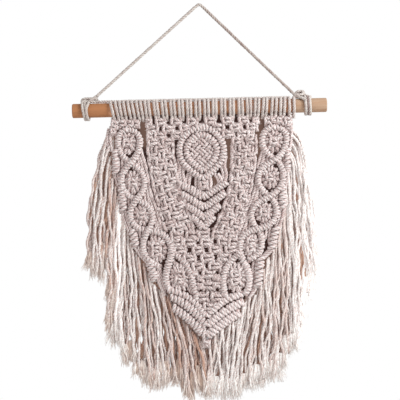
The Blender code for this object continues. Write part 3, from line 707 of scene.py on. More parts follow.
# Columns: drop, middle across, width, knots in the row.
LEFT_BAND_ROWS: Rows = (
    (166.2, -47.6, 34.0, 2), (174.4, -47.6, 33.5, 1), (182.2, -47.4, 33.5, 2), (190.0, -46.6, 33.5, 1),
    (197.8, -45.6, 33.5, 2), (205.6, -44.4, 33.5, 1), (213.4, -43.0, 33.5, 2), (221.2, -41.4, 34.0, 1),
    (229.0, -39.6, 34.0, 2), (237.0, -37.4, 35.0, 1), (245.0, -35.0, 36.5, 2), (253.4, -32.4, 37.0, 1),
    (261.8, -29.6, 37.0, 2), (269.6, -27.0, 37.5, 1),
)
RIGHT_BAND_ROWS: Rows = (
    (167.0, 52.4, 33.0, 2), (176.0, 52.4, 32.0, 1), (185.0, 51.6, 31.0, 2), (193.0, 51.0, 30.5, 1),
    (201.0, 50.2, 30.0, 2), (208.6, 49.2, 29.6, 1), (216.2, 48.0, 29.2, 2), (224.0, 46.0, 29.0, 1),
    (231.8, 44.0, 29.2, 2), (240.0, 41.4, 29.4, 1), (248.0, 38.8, 29.4, 2), (256.0, 35.8, 29.4, 1),
    (264.0, 32.6, 31.0, 2), (272.0, 29.4, 33.0, 1),
)
LOWER_FIELD_ROWS: tuple[tuple[float, tuple[float, ...]], ...] = (
    (278.0, (-30.4, -13.0, 1.0, 19.0, 35.0)),
    (286.6, (-31.0, -16.0, 4.5, 25.5, 38.0)),
    (295.8, (-27.0, -5.8, 14.6, 34.5)),
    (305.6, (-16.0, 4.5, 25.4)),
    (315.6, (-6.4, 14.6)),
    (325.4, (5.6,)),
    (338.4, (5.8,)),
    (353.0, (-2.4, 15.0)),
    (364.0, (6.2,)),
)
# Small crossings and strands beside the middle knots. Columns: across, drop.
LOWER_FIELD_LINKS: Rows = (
    (-4.0, 330.4), (15.6, 329.8), (-4.2, 339.6), (15.8, 337.6), (-10.0, 324.0), (20.6, 332.0),
)
LOWER_FIELD_STRANDS: Sequence[Rows] = (
    ((-9.6, 314.0), (-9.4, 332.0), (-8.0, 352.0)), ((20.0, 316.0), (19.6, 334.0), (20.4, 354.0)),
    ((26.0, 308.0), (21.6, 318.0), (20.0, 330.0)),
)
# Small knots beside the field. Columns: across, drop, reach.
SIDE_TOP_KNOTS: Rows = (
    (-61.0, 142.2, 2.3), (66.2, 142.6, 2.6), (-60.4, 158.0, 2.6), (61.0, 158.4, 3.0),
    (-101.0, 142.8, 3.1), (-92.4, 142.8, 3.1), (-83.6, 142.8, 3.1), (-76.2, 143.4, 2.4),
    (80.8, 143.6, 2.5), (88.2, 142.6, 2.6), (96.2, 143.2, 3.1), (105.4, 143.6, 3.1),
    (-103.6, 151.4, 2.6), (106.6, 151.6, 2.6),
)

# Rings of half hitches. Columns: across, drop.
MEDALLION_RINGS: Sequence[Rows] = (
    ((2.0, 149.6), (-9.4, 152.4), (-18.4, 159.0), (-23.8, 169.0), (-25.0, 180.0),
     (-21.4, 190.6), (-13.4, 199.4), (-4.6, 206.4), (2.0, 210.4), (8.6, 206.4),
     (16.8, 198.6), (24.4, 190.2), (27.6, 179.6), (26.2, 168.6), (20.8, 159.0),
     (12.4, 152.4)),
    ((2.0, 158.2), (-6.2, 160.6), (-12.8, 166.2), (-16.4, 173.8), (-16.4, 181.6),
     (-12.2, 189.4), (-5.0, 196.2), (2.0, 201.2), (8.8, 196.2), (15.4, 189.4),
     (19.2, 181.6), (19.4, 173.8), (15.4, 166.2), (9.4, 160.6)),
)
# Bars of half hitches. Columns: across, drop, width.
CHEVRONS: Sequence[Rows] = (
    ((-26.0, 216.4, 8.6), (-12.0, 224.0, 9.2), (2.0, 231.7, 9.8), (16.0, 224.6, 9.2), (31.0, 215.4, 8.6)),
    ((-23.0, 229.0, 8.6), (-11.0, 236.0, 9.4), (2.0, 244.4, 9.8), (14.0, 238.0, 9.4), (28.0, 228.0, 8.6)),
    ((-17.5, 243.0, 8.2), (-7.0, 249.6, 9.0), (1.6, 256.8, 9.8), (10.0, 251.6, 9.0), (21.0, 243.0, 8.2)),
    ((-12.0, 256.0, 8.0), (-5.4, 261.4, 9.0), (1.0, 269.0, 10.0), (7.0, 262.8, 9.0), (14.0, 256.6, 8.0)),
)
BOTTOM_VEES: Sequence[Rows] = (
    ((-43.0, 342.4, 8.4), (-30.0, 346.6, 8.6), (-18.0, 353.2, 8.6), (-8.0, 362.6, 8.6), (1.0, 374.6, 9.2),
     (10.0, 368.4, 8.6), (18.0, 362.0, 8.6), (26.0, 356.6, 8.6), (36.0, 352.6, 8.6), (47.0, 349.6, 8.4)),
    ((-39.5, 351.0, 9.8), (-25.0, 358.6, 11.0), (-12.0, 369.6, 11.4), (-3.0, 380.0, 11.6),
     (1.0, 386.4, 11.8), (6.0, 383.4, 11.6), (12.0, 379.0, 11.4), (22.0, 372.0, 11.0), (32.0, 366.0, 10.8),
     (46.5, 359.0, 9.8)),
    ((-37.0, 363.6, 9.8), (-31.0, 368.6, 10.6), (-20.0, 377.0, 11.2), (-10.0, 386.6, 11.6),
     (1.0, 398.0, 12.2), (12.0, 391.6, 11.6), (22.0, 384.6, 11.2), (31.0, 378.6, 10.6), (42.0, 372.0, 9.8)),
)


def bar(*rows: Row, width: float = 7.6) -> Rows:
    """Rows of a bar, those without a width at the usual one."""
    return tuple(row if len(row) == 3 else (*row, width) for row in rows)


LEFT_CHAIN: Sequence[Rows] = (
    bar((-88.0, 149.6, 7.4), (-79.5, 151.6), (-73.6, 158.0), (-72.2, 167.0),
     (-74.6, 177.0), (-81.0, 187.0), (-88.6, 195.0), (-94.0, 203.6),
     (-95.6, 212.6), (-93.4, 221.4), (-87.6, 228.6), (-79.6, 234.0),
     (-70.0, 238.4), (-62.6, 244.4), (-59.2, 253.0), (-60.4, 262.4),
     (-65.4, 272.0), (-70.2, 281.6, 7.8), (-71.4, 292.0, 7.8), (-68.6, 302.0, 7.8),
     (-61.0, 309.6), (-52.0, 316.0, 7.4)),
    bar((-88.4, 150.0, 7.4), (-95.2, 153.8), (-98.0, 161.4), (-97.8, 170.4),
     (-94.6, 179.0), (-88.6, 186.6), (-79.0, 193.4), (-71.6, 200.6),
     (-68.0, 209.6), (-68.2, 218.4), (-71.8, 226.6), (-78.0, 234.4),
     (-84.0, 243.0), (-86.0, 252.2), (-83.4, 261.4), (-77.0, 268.0),
     (-66.0, 271.6), (-53.4, 273.6, 7.8), (-43.6, 279.6, 8.0), (-38.0, 289.6, 8.2),
     (-38.0, 301.0, 8.4), (-41.8, 313.0, 8.4), (-44.8, 325.0, 8.4), (-44.4, 335.0, 8.2),
     (-40.0, 344.0, 7.8)),
    bar((-38.4, 296.6), (-30.6, 302.2, 7.8), (-24.0, 308.4, 7.8), (-18.4, 316.6, 7.8),
     (-14.8, 326.6, 7.8), (-12.6, 337.0, 7.8), (-10.4, 347.0, 7.8), (-9.0, 357.0, 7.4)),
)
RIGHT_CHAIN: Sequence[Rows] = (
    bar((88.0, 150.6, 7.4), (79.6, 154.4), (74.6, 162.0), (74.2, 171.4),
     (78.4, 180.6), (86.4, 188.4), (93.8, 194.0), (98.2, 203.4),
     (98.0, 214.0), (94.0, 223.6), (86.8, 230.8), (76.6, 236.4),
     (66.8, 241.6), (60.4, 249.6), (58.8, 259.0), (62.0, 268.0),
     (67.6, 275.0), (70.6, 284.0), (69.4, 295.6), (63.0, 304.4), (53.6, 309.6, 7.4)),
    bar((88.4, 151.0, 7.4), (97.0, 153.0), (102.6, 159.6), (103.0, 169.0),
     (99.4, 179.0), (93.0, 187.6), (84.0, 193.0), (75.6, 198.0),
     (69.4, 206.0), (68.2, 214.6), (71.0, 223.0), (77.0, 231.0),
     (84.4, 237.0), (89.0, 246.0), (88.8, 255.6), (84.0, 264.4),
     (74.6, 270.6), (62.0, 273.6, 7.8), (51.6, 277.6, 8.0), (45.4, 286.4, 8.2),
     (44.4, 297.0, 8.2), (47.2, 308.6, 8.2), (52.4, 319.0, 8.2), (55.0, 331.0, 8.2),
     (53.4, 342.0, 8.0), (49.0, 350.6)),
    bar((44.4, 300.6), (35.4, 308.0, 7.8), (28.4, 316.6, 7.8), (24.4, 326.4, 7.8),
     (23.2, 336.4, 7.8), (24.4, 346.4, 7.8), (27.0, 356.0, 7.4)),
)
# Where two bars of a chain cross. Columns: across, drop.
LEFT_CROSSINGS: Rows = ((-84.4, 190.6), (-77.8, 234.6), (-65.2, 271.8), (-38.4, 297.6))
RIGHT_CROSSINGS: Rows = ((89.6, 190.4), (80.4, 234.0), (66.4, 273.0), (44.6, 299.6))
# Columns: across, drop, width, height.
LOZENGE_KNOTS: Rows = (
    (-87.0, 166.0, 18.0, 23.0), (-81.6, 213.0, 18.0, 23.0), (-72.6, 253.0, 18.0, 21.0),
    (-55.0, 294.0, 21.0, 27.0), (-28.6, 328.0, 20.0, 30.0), (88.4, 168.0, 19.0, 24.0),
    (83.0, 211.0, 19.0, 23.0), (74.4, 253.0, 19.0, 21.0), (57.6, 292.0, 17.6, 25.0),
    (39.0, 330.0, 21.0, 31.0), (2.6, 218.4, 13.0, 14.0), (1.0, 408.5, 11.0, 12.0),
)
# Columns: across, drop, width.
OUTER_COLUMNS: Sequence[Rows] = (
    ((-102.0, 174.5, 9.2), (-101.6, 204.0, 9.2)), ((-95.6, 219.0, 10.1), (-93.6, 249.0, 10.1)),
    ((-84.5, 271.0, 9.9), (-79.0, 292.0, 10.3)), ((-64.0, 309.0, 11.4), (-57.5, 332.0, 12.4)),
    ((103.6, 179.0, 8.8), (103.4, 203.0, 8.8)), ((97.4, 224.0, 9.9), (96.4, 251.0, 9.9)),
    ((88.0, 271.5, 9.9), (81.5, 299.0, 10.6)), ((68.5, 307.0, 11.0), (64.2, 343.0, 11.6)),
)
# Loose strands in the panel. Columns: across, drop.
LINK_STRANDS: Sequence[Rows] = (
    ((-107.0, 148.0), (-109.4, 160.0), (-107.4, 176.0)), ((-101.4, 202.0), (-99.6, 212.0), (-96.0, 221.0)),
    ((-93.6, 247.0), (-91.0, 259.0), (-86.0, 273.0)), ((-79.5, 290.0), (-73.0, 301.0), (-64.5, 311.0)),
    ((107.0, 146.0), (107.4, 162.0), (104.4, 181.0)), ((103.0, 201.0), (101.0, 213.0), (98.0, 226.0)),
    ((96.2, 249.0), (93.6, 261.0), (88.6, 273.0)), ((82.0, 297.0), (76.0, 303.0), (69.0, 309.0)),
    ((-73.0, 176.0), (-67.6, 196.0), (-65.0, 213.0), (-62.0, 232.0)),
    ((77.0, 178.0), (70.6, 196.0), (68.0, 212.0), (64.6, 232.0)),
    ((-12.6, 203.0), (-16.2, 212.0), (-17.0, 222.0)), ((18.0, 205.0), (22.3, 213.0), (23.2, 221.0)),
    ((-3.4, 206.0), (-4.6, 216.0), (-4.0, 225.0)), ((8.0, 206.0), (9.6, 216.0), (8.6, 225.0)),
    ((-25.0, 184.0), (-21.4, 194.0), (-23.6, 204.0), (-21.0, 217.0)),
    ((-29.6, 186.0), (-27.0, 197.0), (-31.0, 207.0), (-28.0, 217.0), (-26.0, 228.0), (-20.6, 240.0),
     (-19.0, 252.0), (-13.8, 264.0), (-13.0, 276.0)),
    ((28.6, 184.0), (26.4, 196.0), (28.4, 206.0), (26.0, 217.0)),
    ((-62.6, 226.0), (-58.4, 240.0), (-54.0, 256.0), (-50.0, 272.0)),
    ((64.8, 228.0), (60.6, 240.0), (55.6, 252.0), (49.6, 268.0), (43.0, 282.0)),
)
# Slanted strands beside the lowest lozenges. Columns: across, drop.
SLANTED_STRANDS: Sequence[Rows] = (
    ((-21.0, 333.0), (-18.8, 341.0), (-14.0, 349.0)), ((-17.6, 332.0), (-16.0, 341.0), (-11.0, 350.0)),
    ((-70.0, 300.0), (-62.0, 312.0), (-56.0, 330.0)), ((-60.0, 304.0), (-54.6, 320.0), (-51.6, 338.0)),
    ((-52.6, 312.0), (-50.6, 326.0), (-46.4, 346.0)), ((-57.0, 326.0), (-52.0, 338.0), (-46.0, 350.0)),
    ((70.0, 300.0), (64.0, 314.0), (61.4, 334.0)), ((64.6, 300.0), (59.8, 316.0), (58.4, 340.0)),
    ((62.0, 322.0), (59.6, 340.0), (55.6, 354.0)), ((66.0, 334.0), (61.0, 346.0), (53.0, 356.0)),
    ((-36.0, 306.0), (-33.0, 318.0), (-34.0, 336.0)), ((48.6, 306.0), (49.0, 318.0), (50.0, 334.0)),
)
# Outline of the knotted panel. Columns: drop, left edge, right edge.
PANEL_OUTLINE: Rows = (
    (134.0, -105.0, 109.0), (160.0, -105.4, 109.0), (176.0, -105.0, 107.5), (203.0, -104.6, 106.6),
    (221.0, -99.6, 101.6), (249.0, -97.4, 100.4), (271.0, -88.6, 92.2), (292.0, -83.4, 87.0),
    (311.0, -70.4, 75.0), (331.0, -64.5, 71.0), (346.0, -46.0, 66.0), (370.0, -37.0, 48.5),
    (391.0, -15.0, 22.0), (411.0, -3.0, 6.0),
)
OUTLINE_DROPS, LEFT_EDGE, RIGHT_EDGE = zip(*PANEL_OUTLINE)
# How far the shade shows beyond the outline: drops, then reaches.
SHADE_REACH = ((150.0, 200.0, 270.0, 420.0), (1.0, 5.0, 16.0, 26.0))
# The shade's colours, dim and where light falls.
SHADE_STOPS = ((0.0, (0.043, 0.021, 0.018)), (1.0, (0.165, 0.098, 0.077)))
# Wider slits that some light falls through. Columns: across, top drop, bottom drop.
LIT_SLITS: Rows = (
    (-67.4, 139.0, 166.0), (71.0, 140.0, 184.0), (33.6, 166.0, 196.0), (-104.0, 158.0, 172.0),
    (16.4, 213.0, 219.0),
)
# Fringe strands from root to end. Columns: root across, root drop, end across, end drop.
LEFT_FRINGE: Rows = (
    (-109.0, 150.0, -136.0, 312.0), (-109.8, 164.0, -131.0, 318.0), (-109.0, 180.0, -124.0, 323.0),
    (-108.8, 195.0, -119.0, 308.0), (-107.0, 208.0, -113.0, 352.0), (-104.0, 218.0, -107.0, 357.0),
    (-103.0, 228.0, -115.0, 386.0), (-102.0, 240.0, -109.0, 397.0), (-100.0, 252.0, -102.0, 408.0),
    (-95.0, 265.0, -97.0, 422.0), (-91.0, 278.0, -89.0, 427.0), (-87.0, 290.0, -82.0, 444.0),
    (-80.0, 302.0, -75.0, 448.0), (-74.0, 312.0, -68.0, 456.0), (-70.0, 325.0, -60.0, 457.0),
    (-64.0, 336.0, -54.0, 450.0), (-56.0, 343.0, -46.0, 454.0), (-48.0, 348.0, -38.0, 452.0),
    (-42.0, 356.0, -31.0, 452.0), (-39.0, 370.0, -25.0, 468.0), (-32.0, 380.0, -20.0, 472.0),
    (-24.0, 387.0, -15.0, 460.0), (-15.0, 395.0, -9.0, 457.0), (-9.0, 403.0, -4.0, 465.0),
    (-4.0, 411.0, 0.0, 469.0),
)
RIGHT_FRINGE: Rows = (
    (107.4, 149.0, 138.0, 302.0), (107.8, 158.0, 134.0, 326.0), (108.0, 170.0, 130.0, 342.0),
    (108.0, 186.0, 124.0, 355.0), (107.0, 202.0, 119.0, 382.0), (105.0, 216.0, 115.0, 394.0),
    (104.0, 232.0, 109.0, 403.0), (103.0, 246.0, 104.0, 413.0), (98.0, 262.0, 97.0, 423.0),
    (93.0, 278.0, 90.0, 440.0), (89.0, 292.0, 85.0, 448.0), (84.0, 304.0, 78.0, 447.0),
    (78.0, 314.0, 70.0, 448.0), (75.0, 328.0, 64.0, 456.0), (73.0, 340.0, 58.0, 459.0),
    (66.0, 350.0, 51.0, 458.0), (56.0, 354.0, 45.0, 462.0), (51.0, 366.0, 38.0, 463.0),
    (44.0, 377.0, 31.0, 470.0), (34.0, 385.0, 25.0, 472.0), (24.0, 391.0, 18.0, 471.0),
    (16.0, 397.0, 12.0, 470.0), (10.0, 404.0, 7.0, 465.0), (4.0, 411.0, 3.0, 467.0),
)
# Waves of a strand, long then short. Ranges of: size, length, start.
STRAND_WAVES = (((0.8, 3.0), (55.0, 110.0), (0.0, math.tau)), ((0.3, 1.1), (18.0, 30.0), (0.0, math.tau)))
# Ranges across of the ends of strands whose deepest layer takes the painted shade cotton.
DIM_ENDS: Rows = ((40.0, 106.0), (-math.inf, -108.0))
# Painted light and shade by region: ranges of a strand's root, across at the right and down at the left, and
# its tone shift.
RIGHT_PAINTED_SHIFT: Rows = ((-20.0, 14.0, -3.1), (17.0, 52.0, 0.4), (55.0, 88.0, -1.2))
LEFT_PAINTED_SHIFT: Rows = ((170.0, 235.0, -1.6), (235.0, 300.0, 0.4), (345.0, 500.0, -2.7))
# A fibre of a frayed end, in shares of its spread, curl, length and depth, and its thickness.
FIBRE_COURSE: Rows = (
    (0.0, 0.0, 0.0, 1.0, 1.0), (0.25, 0.0, 0.35, 1.2, 1.0), (0.65, 1.0, 0.7, 1.5, 0.9),
    (1.0, 0.0, 1.0, 1.7, 0.4),
)
# Fibres in one strand's frayed end, and in one tuft.
FRAY_FIBRES = 15
TUFT_FIBRES = 60
# Columns: name, place, aim (both in metres), size, power, colour.
LIGHTS = (
    ("key", (1.0, -0.75, 0.35), (0.02, 0.0, -0.25), 0.55, 16.8, (0.945, 0.98, 0.97)),
    ("fill", (-1.1, -1.1, -0.1), (0.0, 0.0, -0.25), 0.8, 3.7, (1.0, 0.93, 0.92)),
)
# Hanger cord on the sheet. Columns: across, drop.
HANGER_ROUTE: Rows = (
    (-123.3, 109.2), (-80.0, 71.9), (-40.0, 37.4), (-8.0, 9.8), (-2.2, 4.8), (2.5, 1.9), (7.0, 5.0),
    (12.4, 10.4), (45.0, 43.1), (80.0, 78.2), (111.85, 110.15),
)


class Side(Enum):
    """Left or right half of the hanging, as seen from the front."""

    LEFT = -1
    RIGHT = 1


# ---- Knots -----------------------------------------------------------------------
def mirrored(upper: Rows) -> Rows:
    """Rows of (across, up, front) that end halfway down a knot, followed by their mirror image."""
    return (*upper, *((across, -up, front) for across, up, front in reversed(upper[:-1])))


# A square knot's two working cords, in shares of its reach, height and cord width.
# Columns: across, up, front.
FRONT_WORKER = mirrored((
    (-1.10, 0.70, 0.0), (-1.02, 0.48, -0.1), (-0.66, 0.32, 0.4), (-0.1, 0.25, 1.15), (0.52, 0.27, 0.75),
    (0.96, 0.20, 0.1), (1.12, 0.0, 0.1),
))
BACK_WORKER = mirrored((
    (1.10, 0.70, 0.2), (1.02, 0.44, 0.95), (0.70, 0.24, -0.2), (0.0, 0.1, -0.95), (-0.62, 0.32, -0.3),
    (-0.94, 0.34, 0.75), (-1.04, 0.0, 1.15),
))
# Places across of its two core cords.
CORE_PLACES = (-0.3, 0.3)


@dataclass
class SquareKnots:
    """A group of square knots that share one mesh.

    Attributes:
        bundle: cords of the group.
        cord: width of the cords.
        front: distance of the knots' middles from the sheet.
    """

    bundle: CordBundle
    cord: float = 4.2
    front: float = 3.4

    def tie(self, across: float, drop: float, reach: float, height: float, lean: float = 0.0) -> None:
        """Tie one square knot.

        Args:
            across: middle of the knot.
            drop: middle of the knot.
            reach: distance from the knot's middle to its side loops.
            height: height of the knot.
            lean: turn in degrees, clockwise.
        """
        chance = self.bundle.chance
        mirror = 1.0 if chance.random() < 0.8 else -1.0
        lean = lean + chance.uniform(-9.0, 9.0)
        reach = reach * chance.uniform(0.92, 1.06)
        across += chance.uniform(-0.7, 0.7)
        drop += chance.uniform(-0.5, 0.5)
        slants = (chance.uniform(-0.02, 0.13), chance.uniform(-0.02, 0.13))
        tone = chance.uniform(-0.6, 0.6)
        for table in (FRONT_WORKER, BACK_WORKER):
            rows = [(mirror * x + chance.uniform(-0.08, 0.08),
                     up - math.copysign(slants[up < 0], up) * x + chance.uniform(-0.05, 0.05),
                     front + chance.uniform(-0.2, 0.2)) for x, up, front in table]
            self._sweep(rows, across, drop, reach, height, lean, tone + chance.uniform(-0.4, 0.4))
        for spot in CORE_PLACES:
            rows = [(spot, 0.7, 0.1), (spot * 0.9, 0.0, 0.0), (spot, -0.7, 0.1)]
            self._sweep(rows, across, drop, reach, height, lean, tone + chance.uniform(-0.4, 0.4))

    def _sweep(self, rows: Rows, across: float, drop: float, reach: float, height: float,
               lean: float, tone: float) -> None:
        """Lay one cord of a knot onto the sheet.

        Args:
            rows: (across, up, front) in shares of the knot's sizes.
            across: middle of the knot.
            drop: middle of the knot.
            reach: distance from the knot's middle to its side loops.
            height: height of the knot.
            lean: turn in degrees, clockwise.
            tone: light or dark shift of the cord.
        """
        turn = math.radians(lean)
        placed = []
        for x, up, front in rows:
            side, rise = x * reach, up * height
            placed.append((across + side * math.cos(turn) + rise * math.sin(turn),
                           drop - rise * math.cos(turn) + side * math.sin(turn),
                           self.front + front * self.cord * 0.72))
        self.bundle.add(placed, self.cord, tone=tone)

    def strand(self, rows: Rows, front: float) -> None:
        """Lay a plain strand of (across, drop) behind or beside the knots."""
        self.bundle.add([(*row, front) for row in rows], self.cord, step=1.8)


# Steps along a bar's middle line and round each wrap.
BAR_STEP = 0.35
WRAP_STEPS = 14
# How far a wrap reaches to the front and back, and how far it slants along its bar.
WRAP_DEPTH, WRAP_SLANT = 2.6, 0.8
# How far a chain's bar lies in front if it runs down to the left, and behind if down to the right.
LAYER_LIFT = 0.9
# How far a bar that lies on top rises at a crossing, one that lies under sinks, and over what length.
CROSSING_RISE, CROSSING_SINK, CROSSING_LENGTH = 1.3, -1.9, 6.5


def half_hitch_bar(bundle: CordBundle, rows: Rows, cord: float = 4.2, front: float = 5.0,
                   pitch: float = 3.8, closed: bool = False, crossings: Rows = ()) -> None:
    """Wrap a bar of half hitches along rows of (across, drop, width).

    Args:
        bundle: where the cord goes.
        rows: the bar's middle line and its width.
        cord: width of the wrapped cord.
        front: distance of the bar's middle from the sheet.
        pitch: distance between two wraps.
        closed: whether the bar is a ring.
        crossings: places where another bar crosses; a bar that runs down to the left lies on top.
    """
    line = even_steps(spline(rows, closed), BAR_STEP)
    lengths = distances(line[:, :2])
    turns = max(2, round(lengths[-1] / pitch))
    wraps = np.arange(turns + 1)
    chance = bundle.chance
    angle = np.linspace(0.0, math.tau * turns, turns * WRAP_STEPS + 1)
    shifts = [0.0] + [chance.uniform(-0.16, 0.16) for _ in range(turns - 1)] + [0.0]
    along = np.interp(angle / math.tau, wraps, wraps + shifts) * lengths[-1] / turns
    wobble = np.interp(angle, math.tau * wraps, [chance.uniform(-0.4, 0.4) for _ in wraps])
    if closed:
        wobble[-1] = wobble[0]
    else:
        along = np.clip(along - WRAP_SLANT * np.cos(angle), 0.0, lengths[-1])
    middle = read_at(along, lengths, line)
    normal = read_at(along, lengths, across_normals(line))
    reach = np.maximum((middle[:, 2] - cord) / 2, 1.0) + 0.5 + wobble
    path = np.column_stack([middle[:, :2] + normal * (np.cos(angle) * reach)[:, None],
                            front + np.sin(angle) * WRAP_DEPTH + wobble * 0.8])
    slope = np.interp(along, lengths, np.gradient(line[:, 0]) * 0.3 / BAR_STEP)
    if crossings:
        path[:, 2] -= LAYER_LIFT * np.tanh(6.0 * slope)
    for across, drop in crossings:
        away = np.hypot(middle[:, 0] - across, middle[:, 1] - drop)
        shift = CROSSING_RISE if slope[int(np.argmin(away))] < 0 else CROSSING_SINK
        path[:, 2] += shift * np.exp(-(away / CROSSING_LENGTH) ** 2)
    bundle.add(path, cord, step=1.15, closed=closed, tone=chance.uniform(0.3, 1.1), smooth=False)


# ---- The hanging's parts ---------------------------------------------------------
@dataclass
class Dowel:
    """The wooden dowel: its solid is kept and gets its wood.

    Attributes:
        node: name of the solid.
        finish: its wood.
    """

    node: str = "dowel"
    finish: WoodFinish = field(default_factory=WoodFinish)

    def dress(self) -> None:
        """Give the dowel its wood."""
        materials = bpy.data.objects[self.node].data.materials
        wood = self.finish.material()
        materials.clear()
        materials.append(wood)
        LOG.info("%s: bare wood", self.node)


@dataclass
class HangerCord:
    """The cord that the hanging hangs by.

    Attributes:
        width: width of the cord.
        painted_light_from: where its right leg begins, in the columns that a bundle takes; from there it gets
            painted shade.
    """

    width: float = 3.8
    painted_light_from: Row = (-8.0, 24.0, -100.0, 1.0)

    def build(self, finish: bpy.types.Material) -> None:
        """Args:
            finish: cotton of the cord.
        """
        # Painted shade on the cord's right leg, which comes out darker than the left.
        bundle = CordBundle("hanger_rope", seed=5, painted_light=-2.5, painted_light_from=self.painted_light_from)
        rows = [(across, drop, 0.0) for across, drop in HANGER_ROUTE]
        bundle.add(rows, self.width, Lay.FINE_ROPE, step=1.4, tone=-0.8)
        thing = place(bundle, finish, ("hanger",))
        middle = world(even_steps(spline(rows), step=3.0)) * MM


@dataclass
class HangerTie:
    """One of the hanger's two ties round the dowel.

    Attributes:
        side: which end of the dowel.
        seed: seed of the cords' small differences.
        turns: strands round the dowel: places across, gap, first and last angle, and tone.
        strands: loose strands, each its tone (none for one by chance) and its route.
        width: width of the cord.
        steps: steps in one strand round the dowel.
    """

    side: Side
    seed: int
    turns: Sequence[tuple[Row, float, float, float, float | None]]
    strands: Sequence[tuple[float | None, Rows]]
    width: float = 3.8
    steps: int = 24

    def build(self, finish: bpy.types.Material) -> None:
        """Make the tie.

        Args:
            finish: cotton of the cord.
        """
        label = self.side.name.lower()
        bundle = CordBundle(f"tie_{label}_rope", seed=self.seed)
        for turn in self.turns:
            self._turn(bundle, *turn)
        for tone, route in self.strands:
            bundle.add(route, self.width, Lay.FINE_ROPE, tone=tone)
        place(bundle, finish, (f"hanger_tie_{label}",))

    def _turn(self, bundle: CordBundle, places: Row, clear: float, first: float, last: float,
              tone: float | None) -> None:
        """Wrap one strand round the dowel.

        Args:
            bundle: where the strand goes.
            places: even steps across from its first end to its last.
            clear: gap between the strand and the dowel, below 0 for one pressed in.
            first: first angle in degrees, counted from the top over the front.
            last: last angle.
            tone: light or dark shift, by chance if none.
        """
        radius = DOWEL_RADIUS + clear + self.width / 2
        parts = np.linspace(0.0, 1.0, self.steps + 1)
        angles = np.radians(first + (last - first) * parts)
        across = np.interp(parts * (len(places) - 1), range(len(places)), places)
        rows = np.column_stack([across, DOWEL_DROP - radius * np.cos(angles), radius * np.sin(angles)])
        bundle.add(rows, self.width, Lay.FINE_ROPE, tone=tone)


LEFT_TIE = HangerTie(Side.LEFT, 11, turns=(
    ((-140.8, -139.6, -137.0, -137.0, -137.0), 0.3, -20.0, 340.0, None),
    ((-131.4, -135.5, -133.2, -133.2, -133.2), 0.4, 10.0, 350.0, None),
    ((-136.0, -137.4, -135.2, -135.2, -135.2), 0.1, -10.0, 200.0, -1.6),
), strands=(
    (-1.0, ((-139.8, 117.0, 5.0), (-138.8, 115.2, 4.4), (-134.0, 115.2, 3.2), (-128.0, 115.4, 2.2),
            (-121.6, 115.6, 1.4))),
    (-0.4, ((-140.8, 115.4, -2.0), (-140.6, 113.4, 0.0), (-137.6, 112.0, 1.2), (-132.0, 111.8, 1.2),
            (-126.0, 112.0, 0.8), (-121.8, 112.2, 0.2))),
    (None, ((-131.0, 115.6, 5.4), (-129.6, 113.8, 3.4), (-126.6, 111.4, 1.2), (-123.3, 109.2, 0.0))),
    (-1.6, ((-139.0, 114.6, -3.4), (-133.0, 114.2, -2.6), (-126.0, 114.0, -1.8), (-121.4, 114.2, -1.2))),
))
RIGHT_TIE = HangerTie(Side.RIGHT, 12, turns=(
    ((126.2, 128.6), 0.3, -10.0, 350.0, None),
    ((131.6, 133.2), 0.3, -10.0, 350.0, None),
    # Painted shade: this strand's low tone makes it read as the dark gap between the two others.
    ((129.0, 130.6), -0.2, -10.0, 200.0, -5.0),
), strands=(
    (None, ((111.85, 110.15, 0.0), (114.6, 112.6, 2.6), (118.6, 113.6, 4.6), (123.2, 113.0, 4.6),
            (125.4, 110.6, 2.4), (122.4, 108.8, 0.4), (117.4, 109.6, -0.6), (115.4, 112.6, -1.6),
            (119.0, 114.8, -1.8), (124.0, 114.4, -1.4))),
    (None, ((113.6, 113.6, 1.4), (118.4, 115.4, 5.0), (123.6, 117.6, 7.2), (126.8, 120.6, 9.4))),
    (None, ((122.6, 111.6, -2.4), (127.0, 113.4, -2.0), (131.8, 115.2, -1.0))),
    (-3.6, ((113.0, 112.4, -1.8), (117.6, 112.0, -0.8), (122.4, 112.2, -0.6), (126.0, 114.6, 0.0))),
    (-2.0, ((112.6, 115.0, 0.6), (117.0, 115.6, 1.6), (122.0, 115.8, 2.6))),
))


